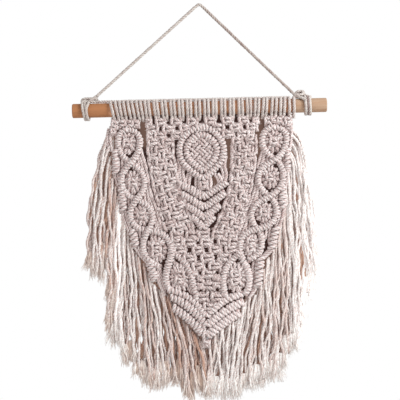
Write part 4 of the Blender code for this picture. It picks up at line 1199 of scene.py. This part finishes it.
@dataclass
class Heading:
    """The row of lark's heads on the dowel.

    Attributes:
        count: number of heads.
        first: left edge of the first head.
        pitch: distance between two heads.
        cord: width of the cords.
        reach: how near a knot of the first row has to be for a strand to enter it.
        paired: places of a head's strands from its left edge, in the middle of the row.
        spread: the same at both sides.
        paired_from: first head that is paired.
        paired_to: last head that is paired.
        first_lean: how far the first head leans to the right.
        upright_from: number of heads over which that lean fades out.
        late_lean: how far the heads near the right end lean to the left.
        late_heads: numbers of those heads.
        pivot_drop: drop where a leaning head keeps its place.
        lean_height: height over which it leans as far as stated.
    """

    count: int = 22
    first: float = -109.0
    pitch: float = 10.2
    cord: float = 3.95
    reach: float = 4.0
    paired: Row = (2.75, 6.8)
    spread: Row = (2.6, 7.7)
    paired_from: int = 4
    paired_to: int = 18
    first_lean: float = 4.6
    upright_from: float = 10.0
    late_lean: float = 1.8
    late_heads: Sequence[int] = range(17, 21)
    pivot_drop: float = 115.0
    lean_height: float = 23.0

    def _legs(self, head: int) -> tuple[float, float]:
        """Find a head's two strands, paired in the middle of the row and spread at both sides.

        Args:
            head: number of the head from the left.

        Returns:
            Places across of the strands.
        """
        edge = self.first + self.pitch * head
        left, right = self.paired if self.paired_from <= head <= self.paired_to else self.spread
        return edge + left, edge + right

    def _knot_place(self, across: float) -> float:
        """Find where a strand enters the first row of knots.

        Args:
            across: place of the strand under the dowel.

        Returns:
            The place across of the nearest knot's cord, or the strand's own place.
        """
        places = [knot + shift for knot in TOP_FIELD_ROWS[0][1] for shift in (-6.4, -2.0, 2.0, 6.4)]
        nearest = min(places, key=lambda spot: abs(spot - across))
        return nearest if abs(nearest - across) < self.reach else across

    def build(self, finish: bpy.types.Material) -> None:
        """Make all the heads and the thin cord laid along their top.

        Args:
            finish: cotton of the heads.
        """
        bundle = CordBundle("lark_heads_rope", seed=21)
        for head in range(self.count):
            self._head(bundle, head)
        laid = [(-122.0, 115.6, 0.8), (-112.0, 115.8, 2.2)]
        laid += [(-108.0 + self.pitch * head, 115.8 + 0.12 * math.sin(head * 1.9), 2.6)
                 for head in range(self.count)]
        bundle.add(laid, width=3.4, lay=Lay.FINE_ROPE, step=1.6, tone=1.0)
        place(bundle, finish, ("lark_heads",))

    def _head(self, bundle: CordBundle, head: int) -> None:
        """Loop one cord over the dowel and through itself.

        Args:
            bundle: where the cord goes.
            head: number of the head from the left.
        """
        chance = bundle.chance
        radius = DOWEL_RADIUS + 0.35 + self.cord / 2
        bottom = DOWEL_DROP + radius
        left, right = (spot + chance.uniform(-0.35, 0.35) for spot in self._legs(head))
        slant = self.first_lean * max(0.0, 1.0 - head / self.upright_from)
        slant -= self.late_lean if head in self.late_heads else 0.0
        slant += chance.uniform(-0.4, 0.4)
        near = [(left, bottom + 1.2, 2.8), (left, bottom - 0.4, -3.4)]
        near += self._over(left, radius, range(235, 30, -25))
        near += [(left + 0.2, bottom - 1.6, 7.2), (left + 0.4, bottom + 1.4, 4.6),
                 (left + 1.2, bottom + 1.0, 1.4)]
        far = [(left + right - across, drop, front) for across, drop, front in reversed(near)]
        rows = [(self._knot_place(left), bottom + 4.6, 3.2), *near, ((left + right) / 2, bottom + 0.6, -0.2),
                *far, (self._knot_place(right), bottom + 4.6, 3.2)]
        leaning = [(across + slant * (drop - self.pivot_drop) / self.lean_height, drop, front)
                   for across, drop, front in rows]
        bundle.add(leaning, self.cord, Lay.FINE_ROPE, step=1.4, tone=chance.uniform(-0.8, 0.8))

    @staticmethod
    def _over(across: float, radius: float, angles: Iterable[int]) -> list[Row]:
        """Lay a strand over the dowel, flatter on top.

        Args:
            across: place of the strand.
            radius: distance of its middle from the dowel's axis.
            angles: degrees, counted from the dowel's bottom over the front.

        Returns:
            Its rows of (across, drop, front).
        """
        rows = []
        for turn in map(math.radians, angles):
            near = radius - 0.9 * max(0.0, -math.cos(turn)) ** 2
            rows.append((across, DOWEL_DROP + near * math.cos(turn), near * math.sin(turn)))
        return rows


@dataclass
class KnottedPanel:
    """All knots between the dowel and the fringe.

    Attributes:
        finish: cotton of the knots.
        cord: width of the cords.
        knot_clear: how far a band's knots stay short of their share of its width.
    """

    finish: bpy.types.Material
    cord: float = 4.2
    knot_clear: float = 2.3

    def build(self) -> None:
        """Make every group of the panel; together they stand for its plain solid."""
        self._top_field()
        self._band("left_band_rope", LEFT_BAND_ROWS, 31)
        self._band("right_band_rope", RIGHT_BAND_ROWS, 32)
        self._lower_field()
        self._medallion()
        self._chain("left_chain_rope", LEFT_CHAIN, LEFT_CROSSINGS, 41)
        self._chain("right_chain_rope", RIGHT_CHAIN, RIGHT_CROSSINGS, 42)
        self._lozenge_knots()
        self._columns()

    def _top_field(self) -> None:
        """Full rows under the heading and the small knots beside them."""
        knots = SquareKnots(CordBundle("top_field_rope", seed=30), self.cord)
        for drop, places in TOP_FIELD_ROWS:
            for across in places:
                knots.tie(across, drop, reach=5.4 if drop < 150 else 5.8, height=8.3)
        for across, drop, reach in SIDE_TOP_KNOTS:
            knots.tie(across, drop, reach, height=8.2)
        place(knots.bundle, self.finish, ("knotted_panel",), fibres=500)

    def _band(self, name: str, rows: Rows, seed: int) -> None:
        """Tie one long band: rows of two knots and rows of one with a strand pair at each side.

        Args:
            name: name of the piece.
            rows: the band's rows of knots.
            seed: seed of the cords' small differences.
        """
        knots = SquareKnots(CordBundle(name, seed=seed), self.cord)
        for index, (drop, across, width, count) in enumerate(rows):
            near, far = rows[max(index - 1, 0)], rows[min(index + 1, len(rows) - 1)]
            lean = math.degrees(math.atan2(near[1] - far[1], far[0] - near[0]))
            pitch, height = width / 2, 8.4
            reach = pitch / 2 - self.knot_clear
            if count == 2:
                for side in (-1, 1):
                    down = side * pitch / 2 * math.sin(math.radians(lean))
                    knots.tie(across + side * pitch / 2, drop + down, reach, height, lean)
                continue
            knots.tie(across, drop, reach, height, lean)
            for side in (-1, 1):
                for spot, front in ((0.62, 3.0), (0.9, 3.2)):
                    knots.strand([(near[1] + side * pitch * spot, near[0] + 2.0),
                                  (across + side * pitch * (spot + 0.02), drop),
                                  (far[1] + side * pitch * spot, far[0] - 2.0)], front)
        place(knots.bundle, self.finish, fibres=450)

    def _lower_field(self) -> None:
        """Alternating knots where the two bands meet."""
        knots = SquareKnots(CordBundle("lower_field_rope", seed=33), self.cord)
        for drop, places in LOWER_FIELD_ROWS:
            for across in places:
                knots.tie(across, drop, reach=6.2, height=9.4)
        for across, drop in LOWER_FIELD_LINKS:
            knots.tie(across, drop, reach=2.4, height=5.4)
        for rows in LOWER_FIELD_STRANDS:
            knots.strand(rows, front=2.6)
        place(knots.bundle, self.finish, fibres=450)

    def _medallion(self) -> None:
        """Two rings of half hitches, the basket weave in them and the vees under them."""
        # Painted light: the cords get paler towards the lower right.
        bundle = CordBundle("medallion_rope", seed=34, painted_light=2.4)
        for rows in MEDALLION_RINGS:
            half_hitch_bar(bundle, [(*row, 8.3) for row in rows], cord=4.4, pitch=3.9, closed=True)
        self._weave(bundle)
        for rows in CHEVRONS:
            half_hitch_bar(bundle, rows)
        for rows in BOTTOM_VEES:
            half_hitch_bar(bundle, rows, cord=4.8, pitch=4.7)
        place(bundle, self.finish, fibres=600)

    @staticmethod
    def _weave(bundle: CordBundle) -> None:
        """Pairs of cords over and under each other, slantwise.

        Args:
            bundle: where the cords go.
        """
        across, drop, half_width, half_height = 1.6, 178.6, 14.0, 18.5
        pair_pitch, twin_gap, step = 8.6, 2.0, 0.9
        for direction in (-1, 1):
            for number in range(-3, 4):
                for twin in (-1, 1):
                    offset = number * pair_pitch + twin * twin_gap
                    rows = []
                    for along in (index * step for index in range(-28, 29)):
                        x = (along - direction * offset) * math.sqrt(0.5)
                        y = (direction * along + offset) * math.sqrt(0.5)
                        if (x / half_width) ** 2 + (y / half_height) ** 2 > 1.0:
                            continue
                        wave = math.cos(math.pi * along / pair_pitch + (0 if direction > 0 else math.pi)
                                        + number * math.pi)
                        rows.append((across + x, drop + y, 4.4 + 1.7 * wave))
                    if len(rows) > 4:
                        bundle.add(rows, width=3.9)

    def _chain(self, name: str, bars: Sequence[Rows], crossings: Rows, seed: int) -> None:
        """Wrap the bars that cross between one side's lozenges, and lay the strands beside the crossings.

        Args:
            name: name of the piece.
            bars: middle lines and widths of the bars.
            crossings: places where two bars cross.
            seed: seed of the cords' small differences.
        """
        pitch, growth = 4.4, 4.6
        # Painted light: the cords get paler towards the lower right.
        bundle = CordBundle(name, seed=seed, painted_light=1.8)
        for rows in bars:
            half_hitch_bar(bundle, rows, front=4.8, crossings=crossings)
        for across, drop in crossings[:3]:
            for side in (-1, 1):
                for number in (1, 2, 3):
                    spot = across + side * (pitch * number + 1.0)
                    reach = growth * number + 3.0
                    bundle.add([(spot - side * 1.2, drop - reach, 2.0), (spot, drop, 2.8),
                                (spot - side * 1.2, drop + reach, 2.0)], self.cord, step=1.6)
        place(bundle, self.finish, fibres=450)

    def _lozenge_knots(self) -> None:
        """A knot in every lozenge, with strands fanning out from it to the bars."""
        # Painted light: the cords get paler towards the lower right.
        knots = SquareKnots(CordBundle("lozenge_rope", seed=43, painted_light=1.2), self.cord, front=3.6)
        for row in LOZENGE_KNOTS:
            across, drop, width, height = row
            if height < 16.0:
                knots.tie(across, drop, reach=width / 2 - 2.4, height=height * 0.62)
            else:
                self._rosette(knots, *row)
        place(knots.bundle, self.finish, fibres=450)

    def _rosette(self, knots: SquareKnots, across: float, drop: float, width: float, height: float) -> None:
        """Tie the middle of one lozenge, two knots where it is high, with a bed and spokes round them.

        Args:
            knots: where the knots go.
            across: middle of the lozenge.
            drop: middle of the lozenge.
            width: width inside the bars.
            height: height inside the bars.
        """
        chance = knots.bundle.chance
        rise = 4.2 if height > 24.0 else 0.0
        for half in ((-1, 1) if rise else (0,)):
            knots.tie(across, drop + half * rise, reach=width * 0.24, height=8.8)
        bed = [(across + math.sin(turn) * width * 0.46, drop - math.cos(turn) * height * 0.46, 2.2)
               for turn in np.linspace(0.0, math.tau, 13)[:-1]]
        knots.bundle.add(bed, width=5.4, step=1.6, closed=True, tone=-0.8)
        spokes = 15 if rise else 12
        for spoke in range(spokes):
            angle = math.tau * (spoke + chance.uniform(0.2, 0.8)) / spokes
            rows = [(across + math.sin(angle) * width / 2 * out + chance.uniform(-0.4, 0.4),
                     drop - math.cos(angle) * height / 2 * out, front)
                    for out, front in ((0.56, 1.8), (0.72, 4.8), (0.96, 4.8), (1.2, 3.2))]
            knots.bundle.add(rows, self.cord * 0.92)

    def _columns(self) -> None:
        """Ridged columns down the outer edges and the loose strands that join them."""
        bundle = CordBundle("column_rope", seed=44)
        for rows in OUTER_COLUMNS:
            half_hitch_bar(bundle, rows, cord=5.0, front=4.2, pitch=5.3)
        for rows in SLANTED_STRANDS:
            bundle.add([(across, drop, 2.4) for across, drop in rows], self.cord, step=1.6)
        for rows in LINK_STRANDS:
            for side in (-1.9, 1.9):
                bundle.add([(across + side, drop, 3.2 + 0.3 * side) for across, drop in rows], self.cord,
                           step=1.6)
        place(bundle, self.finish, fibres=250)


@dataclass(frozen=True)
class FringeCottons:
    """Cottons of a fringe.

    Attributes:
        strand: that of the strands.
        frayed: that of the loose fibres at their ends.
        shaded: that of the strands behind the others, with painted shade in orange brown on their front.
    """

    strand: bpy.types.Material
    frayed: bpy.types.Material
    shaded: bpy.types.Material


@dataclass
class Fringe:
    """The strands' free ends on one side.

    Attributes:
        side: which side of the hanging.
        rows: roots and ends of the strands.
        bulge: how far the topmost strands stand out beside their roots.
        spread: how early the strands lean outwards, 1 for an even slope.
        crossing: how many rows further in a strand may end than it starts.
        strands: number of strands.
        back_strands: number of wider strands behind them.
        layers: layers of strands from the back to the front.
        cord: width of a strand.
        back_place: place of the strands behind, in front of the sheet (below 0 behind it).
        middle_reach: how far from the middle the strands behind are plain ones.
        painted_light_from: where the strands get painted light that makes them paler, in the columns that a
            bundle takes.
    """

    side: Side
    rows: Rows
    bulge: float = 2.0
    spread: float = 2.2
    crossing: float = 0.8
    strands: int = 94
    back_strands: int = 76
    layers: int = 4
    cord: float = 3.6
    back_place: float = -5.4
    middle_reach: float = 34.0
    painted_light_from: Row = (106.0, 12.0, 215.0, 60.0)

    def build(self, cottons: FringeCottons) -> None:
        """Make the strands and their frayed ends.

        Args:
            cottons: cottons of the fringe.
        """
        label = self.side.name.lower()
        seed = 50 + self.side.value
        # Painted light: strands and fibres paler at the outer right, low down.
        body = CordBundle(f"fringe_{label}_rope", seed, painted_light=1.2, painted_light_from=self.painted_light_from)
        frays = CordBundle(f"fringe_{label}_frays", seed + 10, painted_light=3.0, painted_light_from=self.painted_light_from)
        back = CordBundle(f"fringe_{label}_back", seed + 20)
        for number in range(self.strands):
            self._strand(body, frays, back, self._plan(body.chance, number, self.strands), number)
        for number in range(self.back_strands):
            self._back_strand(back, body, self._plan(back.chance, number, self.back_strands))
        for row in self.rows:
            self._tuft(frays, row)
        place(body, cottons.strand, (f"fringe_{label}",), fibres=700, length=4.0)
        place(frays, cottons.frayed)
        place(back, cottons.shaded)

    def _plan(self, chance: random.Random, number: int, strands: int) -> np.ndarray:
        """Choose the root and end of one strand, its end in the steps that the rows give.

        Args:
            chance: the bundle's row of chances.
            number: number of the strand from the outer edge.
            strands: number of strands in its group.

        Returns:
            Root across, root drop, end across and end drop.
        """
        plan = np.asarray(self.rows)
        spot = ((number + 0.5 + chance.uniform(-0.35, 0.35)) / strands) ** 1.15 * (len(plan) - 1)
        later = min(len(plan) - 1.0, spot + chance.uniform(0.0, self.crossing) * min(1.0, spot / 3.0))
        row = np.array([np.interp(spot if column < 2 else later, np.arange(len(plan)), plan[:, column])
                        for column in range(4)])
        nearest = plan[int(round(later))]
        row[2] = row[2] * 0.75 + nearest[2] * 0.25
        row[3] = row[3] * 0.3 + nearest[3] * 0.7
        return row

    def _line(self, chance: random.Random, row: np.ndarray, front: float) -> list[Row]:
        """Draw the wavy middle line of one strand.

        Args:
            chance: the bundle's row of chances.
            row: root and end of the strand.
            front: how far in front of the sheet it lies.

        Returns:
            Rows of (across, drop, front, share of the width).
        """
        root_across, root_drop, end_across, end_drop = row
        length = end_drop - root_drop
        steps = max(8, int(length / 7))
        waves = [[chance.uniform(*span) for span in spans] for spans in STRAND_WAVES]
        inward = -self.side.value * chance.uniform(0.5, 5.0 if root_drop > 178.0 else 1.0)
        bulge = self.side.value * self.bulge * max(0.0, 1.0 - (root_drop - 150.0) / 50.0)
        placed = []
        for part in (index / steps for index in range(steps + 1)):
            down = part * length
            lean = 1.0 - (1.0 - part) ** self.spread
            out = bulge * (1.0 - math.exp(-down / 9.0)) * (1.0 - part) ** 2
            sway = sum(size * math.sin(math.tau * down / wave + start) for size, wave, start in waves)
            across = root_across + inward * (1.0 - part) ** 3 + (end_across - root_across) * lean + out
            depth = 0.9 * math.sin(math.tau * down / 52.0 + waves[0][2])
            placed.append((across + sway * min(1.0, part * 3.0), root_drop + down, front + depth,
                           1.0 - 0.35 * max(0.0, part - 0.93) / 0.07))
        return placed

    def _strand(self, body: CordBundle, frays: CordBundle, back: CordBundle, row: np.ndarray,
                number: int) -> None:
        """Lay one wavy strand that ends in loose fibres.

        A strand of the deepest layer that ends where the fringe is dim joins the shaded ones, in painted
        shade.

        Args:
            body: bundle of the strands.
            frays: bundle of the loose fibres.
            back: bundle of the shaded strands.
            row: root and end of the strand.
            number: number of the strand from the outer edge.
        """
        chance = body.chance
        row[3] += chance.uniform(-6.0, 2.0)
        row[2] += chance.gauss(0.0, 1.8)
        layer = number % self.layers
        placed = self._line(chance, row, layer * 1.7 - 2.0 + chance.uniform(-0.5, 0.5))
        width = self.cord * chance.uniform(0.86, 1.12)
        # Painted light and shade: tone shifts by region, and the right's strands are paler than the left's.
        painted_shift = self._painted_shift(row)
        tone = chance.uniform(-2.2, 2.4) + 0.4 * self.side.value + painted_shift
        if layer == 0 and any(low < row[2] < high for low, high in DIM_ENDS):
            back.add(placed, width, Lay.LOOSE_ROPE, step=2.5, tone=self._shaded(back, row) + 1.0)
        else:
            body.add(placed, width, Lay.LOOSE_ROPE, step=2.5, tone=tone)
        # Painted light: fibre tips paler on the right, darker on the left, paler still at the outer right.
        tip = tone * 0.5 + 1.1 * self.side.value + (0.5 * painted_shift if row[2] > 108.0 else 0.0)
        self._fray(frays, spline(placed), width, chance.uniform(12.0, 26.0), tip)

    def _painted_shift(self, row: np.ndarray) -> float:
        """Find a strand's painted light and shade, a shift of its tone by where it lies.

        Args:
            row: root and end of the strand.

        Returns:
            The shift of its tone.
        """
        root_across, root_drop, end_across, _ = row
        if self.side is Side.RIGHT:
            shifts = sum(shift for low, high, shift in RIGHT_PAINTED_SHIFT if low < root_across < high)
            return 3.4 * share(end_across, 104.0, 13.0) + shifts
        shifts = sum(shift for low, high, shift in LEFT_PAINTED_SHIFT if low < root_drop < high)
        near_edge = max(0.0, 1.0 - abs(end_across + 105.0) / 11.0)
        low_down = min(1.2, max(0.2, (root_drop - 185.0) / 55.0))
        return 4.3 * (near_edge * low_down) + (0.6 if end_across < -117.0 else 0.0) + shifts

    @staticmethod
    def _shaded(back: CordBundle, row: np.ndarray) -> float:
        """Tone of a strand behind the others: painted shade, with painted light towards the outer edge."""
        return back.chance.uniform(-3.0, -0.5) + 3.6 * share(abs(row[2]), 96.0, 20.0)

    def _back_strand(self, back: CordBundle, body: CordBundle, row: np.ndarray) -> None:
        """Lay one wide strand behind the others in painted shade, near the middle in the plain cotton made
        darker.

        Args:
            back: bundle of the shaded strands.
            body: bundle of the plain strands.
            row: root and end of the strand, which it moves inwards.
        """
        row[3] -= back.chance.uniform(8.0, 22.0)
        row[[0, 2]] -= (2.2 + 5.0 * share(row[2], 98.0, 18.0)) * self.side.value
        placed = self._line(back.chance, row, self.back_place)
        tone = self._shaded(back, row)
        width = self.cord * 1.3
        if abs(row[2]) < self.middle_reach:
            body.add(placed, width, Lay.PLY, step=4.5, tone=tone - 2.0)
        else:
            back.add(placed, width, Lay.PLY, step=4.5, tone=tone)

    def _tuft(self, frays: CordBundle, row: Row) -> None:
        """Spread a wide brush of combed-out fibres at the end of a few strands.

        Args:
            frays: bundle of the loose fibres.
            row: root and end of the strands.
        """
        chance = frays.chance
        root_across, root_drop, end_across, end_drop = row
        length = chance.uniform(14.0, 26.0)
        lean = (end_across - root_across) / (end_drop - root_drop) * length * 0.7
        # Painted shade on the left's tufts and painted light on the right's, with the shift by region.
        tone = chance.uniform(-5.5, -0.5) if self.side is Side.LEFT else chance.uniform(0.0, 3.0)
        tone += 0.6 * self._painted_shift(np.asarray(row))
        for _ in range(TUFT_FIBRES):
            spot = chance.uniform(-1.0, 1.0)
            reach = length * (1.0 - 0.25 * spot ** 2) * chance.uniform(0.8, 1.1)
            across, drop, front = end_across - lean + spot * 2.2, end_drop - length, chance.uniform(-2.0, 3.0)
            wide = spot * 6.0 + chance.gauss(0.0, 0.8)
            rows = [(across, drop, front, 1.0),
                    (across + lean * 0.5 + wide * 0.3, drop + reach * 0.5, front, 1.0),
                    (across + lean + wide * 0.6, drop + reach, front + chance.gauss(0.0, 1.0), 0.4)]
            frays.add(rows, width=chance.uniform(0.9, 1.5), lay=Lay.FIBRE, step=6.0,
                      tone=tone + chance.uniform(-0.8, 0.8))

    @staticmethod
    def _fray(frays: CordBundle, line: np.ndarray, width: float, length: float, tone: float) -> None:
        """Spread loose fibres like a brush at a strand's end.

        Args:
            frays: bundle of the loose fibres.
            line: fine middle line of the strand.
            width: width of the strand.
            length: middle length of the fibres.
            tone: their light or dark shift.
        """
        chance = frays.chance
        across, drop, front, _ = line[np.argmin(np.abs(line[:, 1] - (line[-1, 1] - length * 0.6)))]
        drift = chance.gauss(0.0, 2.2)
        for _ in range(FRAY_FIBRES):
            angle = chance.uniform(0.0, math.tau)
            out = math.sqrt(chance.uniform(0.02, 1.0)) * width * 0.42
            side, depth = math.cos(angle) * out, math.sin(angle) * out
            wide = side * chance.uniform(0.8, 2.6) + chance.gauss(0.0, 1.5) + drift
            reach = length * chance.uniform(0.7, 1.15)
            curl = chance.gauss(0.0, 1.0)
            rows = [(across + side + wide * out_share + curl * curl_share, drop + reach * down_share,
                     front + depth * depth_share, thickness)
                    for out_share, curl_share, down_share, depth_share, thickness in FIBRE_COURSE]
            frays.add(rows, width=chance.uniform(0.65, 1.15), lay=Lay.FIBRE, step=4.5,
                      tone=tone + chance.uniform(-0.6, 0.6))


# ---- Studio ----------------------------------------------------------------------
@dataclass
class Studio:
    """Camera, soft light and pale surroundings.

    Attributes:
        lens: focal length on a 36 mm wide sensor.
        across: how far the camera stands to the right of the frame's origin, in metres.
        distance: how far it stands in front.
        height: how high it stands above the origin.
        roll: its turn about the line of sight, in degrees.
        daylight: strength of the surroundings' light.
        floor_radius: radius of the floor.
        floor_height: height of the floor.
    """

    lens: float = 112.5
    across: float = -0.004594
    distance: float = 1.5
    height: float = -0.23258
    roll: float = 1.4
    daylight: float = 0.52
    floor_radius: float = 1.7
    floor_height: float = -0.76

    def set_up(self) -> None:
        """Make the camera, the lights, the floor and the shade behind the hanging."""
        self._camera()
        self._surroundings()
        for row in LIGHTS:
            self._light(*row)
        self._floor()
        Shade().build()
        bpy.context.scene.view_settings.view_transform = "Standard"

    def _camera(self) -> None:
        """The camera straight in front of the hanging, turned very slightly."""
        data = bpy.data.cameras.new("camera")
        data.lens = self.lens
        data.sensor_width = 36.0
        data.dof.use_dof = False
        camera = add_object("camera", data)
        camera.location = (self.across, -self.distance, self.height)
        camera.rotation_euler = (math.radians(90.0), math.radians(self.roll), 0.0)
        bpy.context.scene.camera = camera

    def _surroundings(self) -> None:
        """White surroundings that light the hanging more weakly than they look."""
        sky = bpy.data.worlds.new("studio")
        sky.use_nodes = True
        bpy.context.scene.world = sky
        nodes = Nodes(sky.node_tree)
        sky.node_tree.nodes.clear()
        white = nodes.add("ShaderNodeBackground", {"Color": opaque(WHITE)})
        soft = nodes.add("ShaderNodeBackground", {"Color": (1.0, 0.97, 0.95, 1.0), "Strength": self.daylight})
        seen = nodes.add("ShaderNodeLightPath").outputs["Is Camera Ray"]
        mix = nodes.add("ShaderNodeMixShader", {
            "Fac": seen, 1: soft.outputs["Background"], 2: white.outputs["Background"]})
        nodes.add("ShaderNodeOutputWorld", {"Surface": mix.outputs["Shader"]})

    @staticmethod
    def _light(name: str, spot: Row, aim: Row, size: float, power: float, colour: Colour) -> None:
        """Add one soft area light.

        Args:
            name: name of the light.
            spot: where it stands, in metres.
            aim: what it points at.
            size: width of its square.
            power: its power.
            colour: its colour.
        """
        data = bpy.data.lights.new(name, "AREA")
        data.size, data.energy, data.color = size, power, colour
        light = add_object(name, data)
        light.location = spot
        light.rotation_euler = (Vector(aim) - Vector(spot)).to_track_quat("-Z", "Y").to_euler()

    def _floor(self) -> None:
        """A plain pale round floor well under the hanging."""
        mesh = bpy.data.meshes.new("floor")
        rim = [(self.floor_radius * math.cos(turn), self.floor_radius * math.sin(turn), self.floor_height)
               for turn in np.linspace(0.0, math.tau, 97)[:-1]]
        mesh.from_pydata(rim, [], [tuple(range(len(rim)))])
        material, nodes, shader = new_material("pale_floor")
        nodes.fill(shader, {"Base Color": (0.82, 0.81, 0.79, 1.0), "Roughness": 0.9})
        mesh.materials.append(material)
        add_object("floor", mesh)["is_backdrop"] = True


@dataclass
class Shade:
    """A painted shadow of the wall: a soft-edged brown card behind the panel, seen from the front only.

    Attributes:
        front: how far in front of the sheet it lies.
        step: distance between two of its points.
        half_width: how far it reaches to each side.
        top: drop of its first row.
        bottom: drop that its last row stays above.
        lower_edge: drop where it starts to fade.
    """

    front: float = -11.0
    step: float = 4.0
    half_width: float = 140.0
    top: float = 129.0
    bottom: float = 452.0
    lower_edge: float = 396.0

    def build(self) -> None:
        drops = np.arange(self.top, self.bottom, self.step)
        acrosses = np.arange(-self.half_width, self.half_width + 1.0, self.step)
        spots = [(across, drop) for drop in drops for across in acrosses]
        wide = len(acrosses)
        starts = [row * wide + column for row in range(len(drops) - 1) for column in range(wide - 1)]
        points = world(np.array([(*spot, self.front) for spot in spots])) * MM
        mesh = bpy.data.meshes.new("shade")
        mesh.from_pydata(points.tolist(), [], [(at, at + wide, at + wide + 1, at + 1) for at in starts])
        for name, measure in (("veil", self._veil), ("lit", self._lit)):
            values = [measure(*spot) for spot in spots]
            mesh.attributes.new(name, "FLOAT", "POINT").data.foreach_set("value", values)
        mesh.materials.append(self._material())
        shade = add_object("shade", mesh)
        shade.visible_shadow = shade.visible_diffuse = shade.visible_glossy = False
        shade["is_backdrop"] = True

    def _veil(self, across: float, drop: float) -> float:
        """Find how fully the card shows at a place, fading out beside the panel.

        Args:
            across: the place.
            drop: the place.

        Returns:
            0 where it is clear to 1.
        """
        left, right = (float(np.interp(drop, OUTLINE_DROPS, edge)) for edge in (LEFT_EDGE, RIGHT_EDGE))
        inside = min(across - left, right - across, self.lower_edge - drop)
        reach = float(np.interp(drop, *SHADE_REACH))
        return share(inside, -reach, reach + 1.0)

    @staticmethod
    def _lit(across: float, drop: float) -> float:
        """How much light falls through a wider slit onto a place, fading from 4 to 8 mm away."""
        away = min(math.hypot(across - slit, max(top - drop, drop - bottom, 0.0))
                   for slit, top, bottom in LIT_SLITS)
        return share(8.0 - away, 0.0, 4.0)

    @staticmethod
    def _material() -> bpy.types.Material:
        """Make the painted shadow: a dim brown that no light changes, clear from behind and where it fades.

        Returns:
            The new material.
        """
        material, nodes, _ = new_material("brown_shade")
        material.node_tree.nodes.clear()
        colour = nodes.ramp(nodes.attribute("lit"), SHADE_STOPS)
        brown = nodes.add("ShaderNodeEmission", {"Color": colour})
        clear = nodes.add("ShaderNodeBsdfTransparent")
        behind = nodes.add("ShaderNodeNewGeometry").outputs["Backfacing"]
        in_front = nodes.arithmetic("SUBTRACT", 1.0, behind)
        factor = nodes.arithmetic("MULTIPLY", nodes.attribute("veil"), in_front)
        mix = nodes.add("ShaderNodeMixShader", {
            "Fac": factor, 1: clear.outputs["BSDF"], 2: brown.outputs["Emission"]})
        nodes.add("ShaderNodeOutputMaterial", {"Surface": mix.outputs["Shader"]})
        return material


def corners() -> list[list[float]]:
    """The shown object's lowest and highest corner as plain numbers."""
    return [[float(value) for value in corner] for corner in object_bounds()]


def main() -> None:
    """Build the hanging's pieces in order, from the camera to the fringe."""
    logging.basicConfig(level=logging.INFO, format="%(name)s: %(message)s")
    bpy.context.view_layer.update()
    Studio().set_up()
    hanger_cotton = HANGER_COTTON.material()
    HangerCord().build(hanger_cotton)
    LEFT_TIE.build(hanger_cotton)
    RIGHT_TIE.build(hanger_cotton)
    Dowel().dress()
    Heading().build(HEAD_COTTON.material())
    KnottedPanel(KNOT_COTTON.material()).build()
    cottons = FringeCottons(FRINGE_COTTON.material(), FRAYED_COTTON.material(), BACK_SHADE_COTTON.material())
    Fringe(Side.LEFT, LEFT_FRINGE).build(cottons)
    Fringe(Side.RIGHT, RIGHT_FRINGE, bulge=16.0, spread=1.25, crossing=2.4).build(cottons)


if __name__ == "__main__":
    main()
